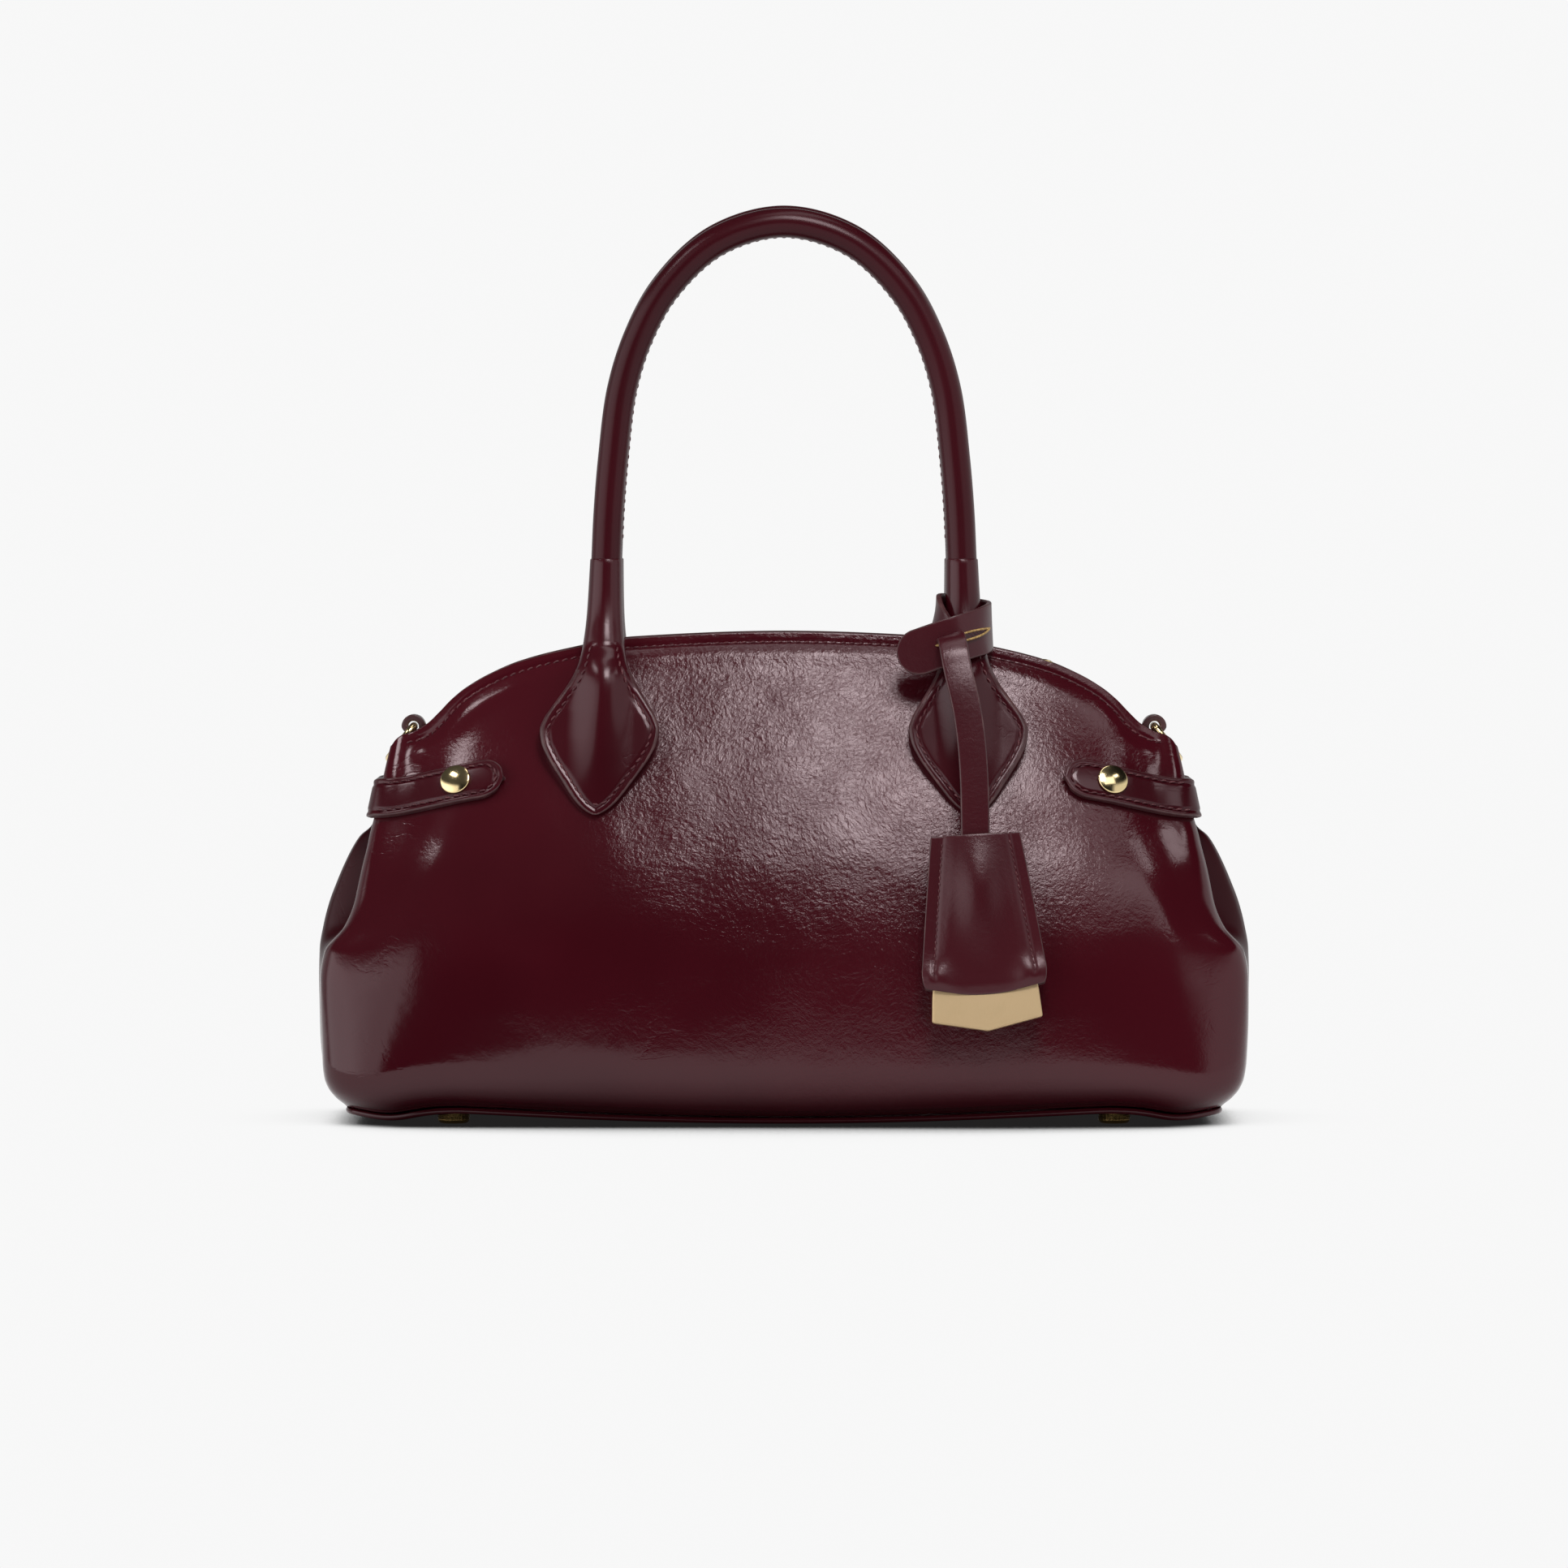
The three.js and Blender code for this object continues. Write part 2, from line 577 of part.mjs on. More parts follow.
function baseGeometry() {
  const outline = baseOutline();
  const endX = Math.max(...outline.map((p) => p.x));
  const layer = (ring, drop) => outline.map((p) => {
    const out = ring + (ring * WELT_OVERHANG) / p.length();
    const x = p.x * out;
    return new THREE.Vector3(x, p.y * out, lowerEdge((x / endX) * BASE_HALF_WIDTH) - drop);
  });
  const top = BASE_RINGS.map((ring) => layer(ring, GAP));
  const under = BASE_RINGS.map((ring) => layer(ring, GAP + BASE_LEATHER)).reverse();
  return loft([...top, ...under]);
}

add('base_panel', baseGeometry(), leather);

// Feet
const foot = new THREE.LatheGeometry(FOOT_PROFILE.map((p) => new THREE.Vector2(p.radius, p.z)), ROUND_SIDES);
foot.rotateX(Math.PI / 2);
for (const [side, x] of [['left', -FOOT_X], ['right', FOOT_X]]) {
  for (const [face, y] of [['front', -FOOT_Y], ['back', FOOT_Y]]) {
    add(`foot_${face}_${side}`, foot, gold).position.set(x, y, FLOOR_LEVEL);
  }
}

// Zip tape along the mouth, and its slider
const ZIP_STEPS = 34;

function zipGeometry() {
  const rows = [];
  for (let i = 0; i <= ZIP_STEPS; i += 1) {
    const x = ZIP_HALF_LENGTH * Math.sin((Math.PI / 2) * ((2 * i) / ZIP_STEPS - 1));
    const z = mouthEdge(Math.abs(x)) - ZIP_BELOW_EDGE;
    rows.push([-1, 0, 1].map((side) => new THREE.Vector3(x, side * ZIP_HALF_WIDTH, z)));
  }
  const under = rows.map((row) => row.map((p) => p.clone().setZ(p.z - ZIP_TAPE)));
  return wall(rows, under);
}

add('zip_tape', zipGeometry(), zipCloth);

const sliderOutline = new THREE.Shape([
  new THREE.Vector2(-SLIDER.length / 2 - PULL.length, 0),
  new THREE.Vector2(SLIDER.length / 2, 0),
  new THREE.Vector2(SLIDER.length / 2, SLIDER.height),
  new THREE.Vector2(-SLIDER.length / 2, SLIDER.height),
  new THREE.Vector2(-SLIDER.length / 2, PULL.height),
  new THREE.Vector2(-SLIDER.length / 2 - PULL.length, PULL.height),
]);
const slider = new THREE.ExtrudeGeometry(sliderOutline, { depth: PULL.width, bevelEnabled: false });
slider.rotateX(Math.PI / 2);
slider.translate(0, PULL.width / 2, 0);
const sliderHolder = new THREE.Group();
const sliderStep = SLIDER.length / 2 + PULL.length;
const sliderSlope = (mouthEdge(SLIDER_X - sliderStep) - mouthEdge(SLIDER_X + SLIDER.length / 2))
  / (sliderStep + SLIDER.length / 2);
sliderHolder.position.set(SLIDER_X, 0, mouthEdge(SLIDER_X) - ZIP_BELOW_EDGE + SLIDER_LIFT);
sliderHolder.rotation.y = Math.atan(sliderSlope);
bag.add(sliderHolder);
add('zip_slider', slider, gold, sliderHolder);

// Handles
const handleCircle = new THREE.Shape().absarc(0, 0, HANDLE_RADIUS, 0, 2 * Math.PI);

function handleGeometry(rise) {
  const rows = [...HANDLE_ARCH, { x: 0, z: HANDLE_TOP }];
  const half = rows.map(({ x, z }) => {
    const share = THREE.MathUtils.smoothstep(z, HANDLE_START, HANDLE_TOP);
    return new THREE.Vector3(x, -handleLean(z), z + rise * share);
  });
  const other = half.slice(0, -1).reverse().map((p) => new THREE.Vector3(-p.x, p.y, p.z));
  return new THREE.ExtrudeGeometry(handleCircle, {
    extrudePath: new THREE.CatmullRomCurve3([...half, ...other]),
    steps: HANDLE_STEPS,
    curveSegments: HANDLE_HALF_SIDES,
    bevelEnabled: false,
  });
}

const backHandle = handleGeometry(BACK_HANDLE_RISE);
backHandle.rotateZ(Math.PI);
add('handle_front', handleGeometry(0), leather);
add('handle_back', backHandle, leather);

// Handle ends
function handleEndLoop({ z, x, half, ridge, roll }) {
  const loop = [];
  const core = z < mouthEdge(x) ? panelDepthAt(x, z) + GAP + SLEEVE_RADIUS : handleLean(z);
  for (let j = 0; j < HANDLE_END_SIDES; j += 1) {
    const turn = (2 * Math.PI * j) / HANDLE_END_SIDES;
    const across = half * Math.cos(turn);
    const onPanel = panelDepthAt(x + across, z) + GAP;
    const standsOff = PATCH_STANDS_OFF * (z - HANDLE_END[0].z);
    const lift = ridge * Math.max(0, 1 - (across / CORE_HALF_WIDTH) ** 2) ** 2 + standsOff;
    const flat = Math.sin(turn) > 0 ? onPanel + PATCH_LEATHER + lift : onPanel;
    const round = core + SLEEVE_RADIUS * Math.sin(turn);
    loop.push(new THREE.Vector3(x + across, -(flat + (round - flat) * roll), z));
  }
  return loop;
}

const handleEnd = loft(HANDLE_END.map(handleEndLoop));
add('handle_end_front_right', handleEnd, leather);
add('handle_end_front_left', mirrored(handleEnd, 'x'), leather);
const backHandleEnd = mirrored(handleEnd, 'y');
add('handle_end_back_right', backHandleEnd, leather);
add('handle_end_back_left', mirrored(backHandleEnd, 'x'), leather);

// Side straps: along the front panel, round the side and along the back panel
function strapStations() {
  const tip = STRAP_TIP_X / seamX(STRAP_TIP_Z);
  const front = [];
  for (let i = 0; i <= STRAP_PANEL_STEPS; i += 1) {
    const turn = Math.asin(tip) + (Math.PI / 2 - Math.asin(tip)) * (i / STRAP_PANEL_STEPS) ** STRAP_CROWDING;
    front.push({ share: Math.sin(turn), across: -1 });
  }
  const side = [];
  for (let i = 1; i < STRAP_SIDE_STEPS; i += 1) side.push({ share: 1, across: (2 * i) / STRAP_SIDE_STEPS - 1 });
  const back = front.map(({ share }) => ({ share, across: 1 })).reverse();
  return [...front, ...side, ...back];
}

// A point of the strap's inner face before its clearance, at a place across its width.
function strapPoint({ share, across }, place) {
  const tip = STRAP_TIP_X / seamX(STRAP_TIP_Z);
  const round = THREE.MathUtils.smoothstep(share, tip, 1);
  const fromTip = (share - tip) * seamX(STRAP_TIP_Z);
  const trim = Math.min(1, fromTip / STRAP_HALF_WIDTH);
  const half = STRAP_HALF_WIDTH * Math.max(ROUND_END_START, Math.sqrt(1 - (1 - trim) ** 2));
  const z = STRAP_TIP_Z + (STRAP_SIDE_Z - STRAP_TIP_Z) * round + place * half;
  const depth = panelDepth(share, z);
  return new THREE.Vector3(share * seamX(z), across * depth, z);
}

function strapGeometry() {
  const stations = strapStations();
  const rows = stations.map((station) => STRAP_ACROSS.map((place) => strapPoint(station, place)));
  const face = (offset) => rows.map((row, i) => row.map((p, j) => {
    const along = rows[Math.min(i + 1, rows.length - 1)][j].clone().sub(rows[Math.max(i - 1, 0)][j]);
    const across = row[Math.min(j + 1, row.length - 1)].clone().sub(row[Math.max(j - 1, 0)]);
    const out = along.cross(across).normalize();
    return p.clone().addScaledVector(out, offset);
  }));
  return wall(face(GAP + STRAP_LEATHER), face(GAP));
}

const rightStrap = strapGeometry();
add('side_strap_right', rightStrap, leather);
add('side_strap_left', mirrored(rightStrap, 'x'), leather);

// Studs, square to the strap under them
const stud = new THREE.LatheGeometry(STUD_PROFILE.map((p) => new THREE.Vector2(p.radius, p.out)), ROUND_SIDES);

function panelFacing(x, z) {
  const step = 4;
  const slopeX = (panelDepthAt(x + step, z) - panelDepthAt(x - step, z)) / (2 * step);
  const slopeZ = (panelDepthAt(x, z + step) - panelDepthAt(x, z - step)) / (2 * step);
  return new THREE.Vector3(-slopeX, -1, -slopeZ).normalize();
}

for (const [side, signX] of [['left', -1], ['right', 1]]) {
  for (const [face, signY] of [['front', 1], ['back', -1]]) {
    const out = panelFacing(STUD_X, STUD_Z);
    const place = new THREE.Vector3(STUD_X, -panelDepthAt(STUD_X, STUD_Z), STUD_Z);
    place.addScaledVector(out, STRAP_LEATHER + 2 * GAP);
    const flip = new THREE.Vector3(signX, signY, 1);
    const mesh = add(`stud_${face}_${side}`, stud, gold);
    mesh.position.copy(place.multiply(flip));
    mesh.quaternion.setFromUnitVectors(new THREE.Vector3(0, 1, 0), out.multiply(flip));
  }
}

// Ring tabs: a leather loop round the ring's bar on a short foot
function tabGeometry() {
  const outline = new THREE.Shape();
  outline.moveTo(-TAB_OUTER, TAB_FOOT - RING_BAR.z);
  outline.lineTo(TAB_OUTER / 3, TAB_FOOT - RING_BAR.z);
  outline.lineTo(TAB_OUTER, 0);
  outline.absarc(0, 0, TAB_OUTER, 0, Math.PI);
  outline.lineTo(-TAB_OUTER, TAB_FOOT - RING_BAR.z);
  outline.holes.push(new THREE.Path().absarc(0, 0, TAB_BORE, 0, 2 * Math.PI, true));
  const tab = new THREE.ExtrudeGeometry(outline, {
    depth: 2 * TAB_HALF_WIDTH,
    curveSegments: TAB_ROUND_STEPS,
    bevelEnabled: false,
  });
  tab.rotateX(Math.PI / 2);
  tab.translate(0, TAB_HALF_WIDTH, 0);
  return tab;
}

const RING_STEPS = 32;
const RING_SIDES = 8;

function ringGeometry() {
  const down = new THREE.Vector3(Math.cos(RING_LEAN), 0, -Math.sin(RING_LEAN));
  const points = RING_OUTLINE.map((row) => new THREE.Vector3(0, row.across, 0).addScaledVector(down, row.down));
  const curve = new THREE.CatmullRomCurve3(points, true);
  const facing = new THREE.Vector3(Math.sin(RING_LEAN), 0, Math.cos(RING_LEAN));
  const loops = [];
  for (let i = 0; i < RING_STEPS; i += 1) {
    const middle = curve.getPointAt(i / RING_STEPS);
    const outward = curve.getTangentAt(i / RING_STEPS).cross(facing).normalize();
    const loop = [];
    for (let j = 0; j < RING_SIDES; j += 1) {
      const turn = (2 * Math.PI * j) / RING_SIDES;
      const p = middle.clone().addScaledVector(outward, RING_WIRE * Math.cos(turn));
      loop.push(p.addScaledVector(facing, RING_WIRE * Math.sin(turn)));
    }
    loops.push(loop);
  }
  return loft(loops, true);
}

for (const [side, turn] of [['left', Math.PI], ['right', 0]]) {
  const holder = new THREE.Group();
  holder.position.set(RING_BAR.x * Math.cos(turn), 0, RING_BAR.z);
  holder.rotation.z = turn;
  bag.add(holder);
  add(`ring_tab_${side}`, tabGeometry(), leather, holder);
  add(`ring_${side}`, ringGeometry(), gold, holder);
}

// The knot: a flat band along its route, with a round free end
function knotGeometry() {
  const curve = new THREE.CatmullRomCurve3(KNOT_ROUTE.map((p) => new THREE.Vector3(p.x, p.y, p.z)));
  const length = curve.getLength();
  const wide = new THREE.Vector3(0, KNOT_TILT, 1).normalize();
  const outer = [];
  const inner = [];
  for (let i = 0; i <= KNOT_STEPS; i += 1) {
    const middle = curve.getPointAt(i / KNOT_STEPS);
    const out = curve.getTangentAt(i / KNOT_STEPS).cross(wide).normalize();
    const trim = Math.min(1, (length * i) / KNOT_STEPS / KNOT_HALF_WIDTH);
    const half = KNOT_HALF_WIDTH * Math.max(ROUND_END_START, Math.sqrt(1 - (1 - trim) ** 2));
    const row = (offset) => [-1, 0, 1].map((place) => middle.clone()
      .addScaledVector(wide, place * half)
      .addScaledVector(out, offset));
    outer.push(row(KNOT_LEATHER / 2));
    inner.push(row(-KNOT_LEATHER / 2));
  }
  return wall(outer, inner);
}

add('tag_knot', knotGeometry(), leather);

// The hanging strap, its width level
function tagStrapGeometry() {
  const curve = new THREE.CatmullRomCurve3(TAG_STRAP_ROUTE.map((p) => new THREE.Vector3(p.x, p.y, p.z)));
  const side = new THREE.Vector3(1, 0, 0);
  const loops = [];
  for (let i = 0; i <= TAG_STRAP_STEPS; i += 1) {
    const middle = curve.getPointAt(i / TAG_STRAP_STEPS);
    const out = side.clone().cross(curve.getTangentAt(i / TAG_STRAP_STEPS)).normalize();
    loops.push([[-1, -1], [1, -1], [1, 1], [-1, 1]].map(([across, face]) => middle.clone()
      .addScaledVector(side, across * TAG_STRAP_HALF_WIDTH)
      .addScaledVector(out, face * (TAG_STRAP_LEATHER / 2))));
  }
  return loft(loops);
}

add('tag_strap', tagStrapGeometry(), leather);

// Bell and plate, in the tag's own leaning frame
const tag = new THREE.Group();
tag.position.set(TAG.x, TAG.y, TAG.z);
tag.rotation.set(TAG_LEAN, TAG_ROLL, 0);
bag.add(tag);

function bellGeometry() {
  const loops = BELL_SECTIONS.map(({ down, half, thick }) => {
    const loop = [];
    for (let j = 0; j < BELL_SIDES; j += 1) {
      const turn = (2 * Math.PI * j) / BELL_SIDES;
      const power = 2 / BELL_ROUND_POWER;
      const across = Math.sign(Math.cos(turn)) * Math.abs(Math.cos(turn)) ** power;
      const face = Math.sign(Math.sin(turn)) * Math.abs(Math.sin(turn)) ** power;
      loop.push(new THREE.Vector3(half * across, BELL_HALF_THICKNESS * thick * face, -down));
    }
    return loop;
  });
  const body = loft(loops);
  const room = BELL_HALF_THICKNESS - BELL_WALL;
  const hollow = new THREE.Shape([
    new THREE.Vector2(-BELL_POCKET.half, -BELL_POCKET.from),
    new THREE.Vector2(-BELL_POCKET.mouthHalf, -BELL_DROP - 1),
    new THREE.Vector2(BELL_POCKET.mouthHalf, -BELL_DROP - 1),
    new THREE.Vector2(BELL_POCKET.half, -BELL_POCKET.from),
  ]);
  const cutter = new THREE.ExtrudeGeometry(hollow, { depth: 2 * room, bevelEnabled: false });
  cutter.rotateX(Math.PI / 2);
  cutter.translate(0, room, 0);
  return subtract(body, cutter);
}

const plateShape = new THREE.Shape(PLATE_OUTLINE.map((p) => new THREE.Vector2(p.across, -p.down)));
const plate = new THREE.ExtrudeGeometry(plateShape, { depth: 2 * PLATE_HALF_THICKNESS, bevelEnabled: false });
plate.rotateX(Math.PI / 2);
plate.translate(0, PLATE_HALF_THICKNESS, 0);

add('tag_bell', bellGeometry(), leather, tag);
add('tag_plate', plate, satinGold, tag);

export default bag;
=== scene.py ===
"""The visual model of a glossy burgundy satchel on metal feet.

Sizes are millimetres in the bag's own frame: +X to the right as the front is seen, the front towards -Y, +Z
up and the bag's middle plane at y = 0. They become metres of the shared frame as each mesh is made.
"""

import logging
import math
from collections.abc import Sequence
from dataclasses import dataclass, field
from enum import Enum

import bmesh
import bpy
import numpy as np
from mathutils import Euler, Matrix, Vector


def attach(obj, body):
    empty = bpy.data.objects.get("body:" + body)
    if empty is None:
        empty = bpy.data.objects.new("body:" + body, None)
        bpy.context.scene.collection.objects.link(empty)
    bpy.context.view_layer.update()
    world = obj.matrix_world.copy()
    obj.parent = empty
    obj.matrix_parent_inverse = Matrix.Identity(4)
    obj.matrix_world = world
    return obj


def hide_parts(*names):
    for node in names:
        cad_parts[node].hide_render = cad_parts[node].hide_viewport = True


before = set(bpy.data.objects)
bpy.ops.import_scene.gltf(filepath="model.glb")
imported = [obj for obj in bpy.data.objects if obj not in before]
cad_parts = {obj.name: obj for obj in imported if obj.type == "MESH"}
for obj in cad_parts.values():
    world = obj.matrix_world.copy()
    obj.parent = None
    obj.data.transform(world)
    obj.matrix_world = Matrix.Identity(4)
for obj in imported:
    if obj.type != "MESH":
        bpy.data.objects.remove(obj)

LOG = logging.getLogger("satchel")
Array = np.ndarray
Colour = tuple[float, float, float, float]
MM = 0.001
BAG_PLACE = np.array((0.0, 5.6, -2.8))  # where the bag's own origin lies in the shared frame
LIP_BULGE = 0.5  # how far a painted edge swells, as a share of half the leather
LIP_POWER = 0.7  # under 1, a painted edge is squarer than half a circle
BACKWARD = np.array((0.0, 1.0, 0.0))


class Side(Enum):
    """The two ends of the bag, with the sign of x there."""

    LEFT = -1
    RIGHT = 1


class Face(Enum):
    """The two faces of the bag, with the sign of y there."""

    FRONT = -1
    BACK = 1


class Body(Enum):
    """The bodies that pieces ride on."""

    BAG = "bag"
    RING_LEFT = "ring_left"
    RING_RIGHT = "ring_right"


class Slot(Enum):
    """The record's material slots."""

    LEATHER = "leather"
    GOLD = "gold"
    SATIN_GOLD = "satin_gold"
    ZIP = "zip"


# Curves and unevenness


@dataclass(frozen=True)
class SmoothCurve:
    """A smooth curve through points that never overshoots them, level past both ends."""

    points: tuple[tuple[float, float], ...]

    def __call__(self, place: Array | float) -> Array:
        """Reads the curve.

        Args:
            place: Where along the curve, as one number or many.

        Returns:
            The curve's value at each place.
        """
        at, value = np.array(self.points).T
        span = np.diff(at)
        secant = np.diff(value) / span
        before, after = secant[:-1], secant[1:]
        same_way = before * after > 0
        inner = np.where(same_way, 2 * before * after / np.where(same_way, before + after, 1.0), 0.0)
        slope = np.concatenate(([secant[0]], inner, [secant[-1]]))
        x = np.clip(place, at[0], at[-1])
        i = np.clip(np.searchsorted(at, x, side="right") - 1, 0, len(span) - 1)
        s = (x - at[i]) / span[i]
        rise = s * s * (3 - 2 * s)
        start = s * (1 - s) ** 2 * span[i] * slope[i]
        end = s * s * (s - 1) * span[i] * slope[i + 1]
        return value[i] + (value[i + 1] - value[i]) * rise + start + end


@dataclass(frozen=True)
class Waves:
    """The soft unevenness of slack leather: a seeded sum of long waves."""

    size: float
    height: float
    seed: int
    count: int = 24

    def __call__(self, x: Array, z: Array) -> Array:
        """Reads the unevenness at places on a surface.

        Args:
            x: Places along the surface.
            z: Places up the surface.

        Returns:
            The height at each place.
        """
        rng = np.random.default_rng(self.seed)
        turn = rng.uniform(0, 2 * math.pi, self.count)
        phase = rng.uniform(0, 2 * math.pi, self.count)
        pitch = 2 * math.pi / (self.size * rng.uniform(0.7, 1.6, self.count))
        total = np.zeros(np.broadcast(x, z).shape)
        for t, p, k in zip(turn, phase, pitch):
            total += np.cos(k * (x * math.cos(t) + z * math.sin(t)) + p)
        return self.height * total * math.sqrt(2 / self.count)


def smoothstep(value: Array | float, low: float, high: float) -> Array:
    """Eases from 0 at low to 1 at high.

    Args:
        value: What is eased.
        low: Where the result is still 0.
        high: Where the result has become 1.

    Returns:
        The eased share.
    """
    share = np.clip((np.asarray(value, dtype=float) - low) / (high - low), 0, 1)
    return share * share * (3 - 2 * share)


def hump(distance: Array | float, width: float) -> Array:
    """Gives a bell curve of height 1 and the given width."""
    return np.exp(-((np.asarray(distance, dtype=float) / width) ** 2))


def unit(vectors: Array) -> Array:
    """Scales vectors to length 1."""
    return vectors / np.maximum(np.linalg.norm(vectors, axis=-1, keepdims=True), 1e-9)


def full_turn(sides: int) -> Array:
    """Gives angles evenly spaced round a full turn."""
    return np.linspace(0, 2 * math.pi, sides, endpoint=False)


def walked(points: Array) -> Array:
    """Gives the distance along a path at each of its points."""
    return np.concatenate(([0.0], np.cumsum(np.linalg.norm(np.diff(points[:, :3], axis=0), axis=1))))


def even_path(points: Array, count: int) -> Array:
    """Spaces points evenly along a path.

    Args:
        points: The path's points in order; values past the third column go along with them.
        count: How many points to give back.

    Returns:
        Points the same distance apart along the path.
    """
    length = walked(points)
    place = np.linspace(0, length[-1], count)
    return np.stack([np.interp(place, length, column) for column in points.T], axis=1)


def smooth_path(knots: Sequence[tuple[float, ...]], count: int, closed: bool = False) -> Array:
    """Runs a smooth path through knots and spaces its points evenly.

    Args:
        knots: Points that the path goes through, with any further values to carry along.
        count: How many points to give back.
        closed: Whether the path comes back to its start. The start isn't repeated.

    Returns:
        Evenly spaced points along the path.
    """
    p = np.array(knots, dtype=float)
    if closed:
        p = np.concatenate((p[-2:], p, p[:3]))
    t = np.concatenate(([0.0], np.cumsum(np.diff(walked(p)) ** 0.7)))
    slope = np.gradient(p, t, axis=0)
    first, last = (2, len(p) - 3) if closed else (0, len(p) - 1)
    pieces = []
    for i in range(first, last):
        s = np.linspace(0, 1, 24, endpoint=False)[:, None]
        span = t[i + 1] - t[i]
        rise = s * s * (3 - 2 * s)
        pieces.append(p[i] * (1 - rise) + p[i + 1] * rise
                      + span * (s * (1 - s) ** 2 * slope[i] + s * s * (s - 1) * slope[i + 1]))
    pieces.append(p[last][None])
    dense = np.concatenate(pieces)
    return even_path(dense, count + 1)[:-1] if closed else even_path(dense, count)


# Meshes


@dataclass
class MeshParts:
    """Points and faces of one piece, gathered part by part, with a finish number for each face."""

    points: list[Array] = field(default_factory=list)
    faces: list[list[int]] = field(default_factory=list)
    finishes: list[int] = field(default_factory=list)
    count: int = 0

    def add(self, points: Array, faces: Array, finish: Array | int = 0) -> "MeshParts":
        """Adds a part.

        Args:
            points: The part's points, in any grid shape.
            faces: Corner numbers of its faces, one row each.
            finish: The finish number of all its faces, or of each.

        Returns:
            The gathered parts.
        """
        flat = points.reshape(-1, 3)
        self.points.append(flat)
        self.faces.extend((np.asarray(faces) + self.count).tolist())
        self.finishes.extend(np.broadcast_to(finish, len(faces)).tolist())
        self.count += len(flat)
        return self

    def join(self, other: "MeshParts", finish: int | None = None) -> "MeshParts":
        """Adds all parts of another piece.

        Args:
            other: The parts to add.
            finish: A finish number for all of them, where theirs are not kept.

        Returns:
            The gathered parts.
        """
        self.points.extend(other.points)
        self.faces.extend([[v + self.count for v in face] for face in other.faces])
        self.finishes.extend(other.finishes if finish is None else [finish] * len(other.faces))
        self.count += other.count
        return self

    def mirrored(self, signs: tuple[int, int, int]) -> "MeshParts":
        """Mirrors all points along the axes whose sign is -1."""
        return self.placed(np.zeros(3), np.diag(signs))

    def placed(self, origin: Array, axes: Array) -> "MeshParts":
        """Moves all points into another frame.

        Args:
            origin: Where the parts' own origin goes.
            axes: The directions of the parts' own axes, one row each.

        Returns:
            The moved parts.
        """
        return MeshParts([origin + p @ axes for p in self.points], self.faces, self.finishes, self.count)


def quads(rows: int, columns: int, round_columns: bool = False, round_rows: bool = False) -> Array:
    """Numbers the faces of a grid of points.

    Args:
        rows: Points one way.
        columns: Points the other way.
        round_columns: Whether the last column joins the first.
        round_rows: Whether the last row joins the first.

    Returns:
        Four corner numbers for each face.
    """
    down = rows if round_rows else rows - 1
    across = columns if round_columns else columns - 1
    i, j = np.meshgrid(np.arange(down), np.arange(across), indexing="ij")
    n, k = (i + 1) % rows, (j + 1) % columns
    corners = (i * columns + j, i * columns + k, n * columns + k, n * columns + j)
    return np.stack(corners, -1).reshape(-1, 4)


def grid_normals(grid: Array) -> Array:
    """Works out the way out of a surface from its neighbouring points."""
    return unit(np.cross(np.gradient(grid, axis=1), np.gradient(grid, axis=0)))


def border(rows: int, columns: int) -> Array:
    """Numbers the points round the edge of a grid, in order."""
    low = np.arange(columns)
    right = np.arange(1, rows) * columns + columns - 1
    top = (rows - 1) * columns + np.arange(columns - 2, -1, -1)
    left = np.arange(rows - 2, 0, -1) * columns
    return np.concatenate((low, right, top, left))


def slab(grid: Array, thickness: float, lip_steps: int = 6) -> MeshParts:
    """Thickens a sheet inwards and rounds its edge. The edge's faces have finish 1.

    Args:
        grid: Points of the sheet's outer face, rows by columns.
        thickness: How thick the sheet is.
        lip_steps: Steps of the rounded edge.

    Returns:
        The closed sheet.
    """
    rows, columns = grid.shape[:2]
    inner = grid - grid_normals(grid) * thickness
    edge = border(rows, columns)
    outside = np.zeros_like(grid)
    outside[0] += unit(grid[0] - grid[1])
    outside[-1] += unit(grid[-1] - grid[-2])
    outside[:, 0] += unit(grid[:, 0] - grid[:, 1])
    outside[:, -1] += unit(grid[:, -1] - grid[:, -2])
    outside = unit(outside).reshape(-1, 3)[edge]
    top, under = grid.reshape(-1, 3)[edge], inner.reshape(-1, 3)[edge]
    middle, arm = (top + under) / 2, (top - under) / 2
    reach = np.linalg.norm(arm, axis=1, keepdims=True)
    turn = np.linspace(0, math.pi, lip_steps + 1)[1:-1]
    square = np.sign(np.cos(turn)) * np.abs(np.cos(turn)) ** LIP_POWER
    swell = outside * reach * LIP_BULGE
    lips = [middle + arm * c + swell * math.sin(a) ** LIP_POWER for a, c in zip(turn, square)]
    count, loop = rows * columns, len(edge)
    rings = [edge, *[2 * count + k * loop + np.arange(loop) for k in range(len(lips))], edge + count]
    bands = [np.stack([np.roll(a, -1), a, b, np.roll(b, -1)], 1) for a, b in zip(rings, rings[1:])]
    lip_faces = np.concatenate(bands)
    sheet = quads(rows, columns)
    faces = np.concatenate((sheet, sheet[:, ::-1] + count, lip_faces))
    finish = np.concatenate((np.zeros(2 * len(sheet), int), np.ones(len(lip_faces), int)))
    points = np.concatenate((grid.reshape(-1, 3), inner.reshape(-1, 3), *lips))
    return MeshParts().add(points, faces, finish)


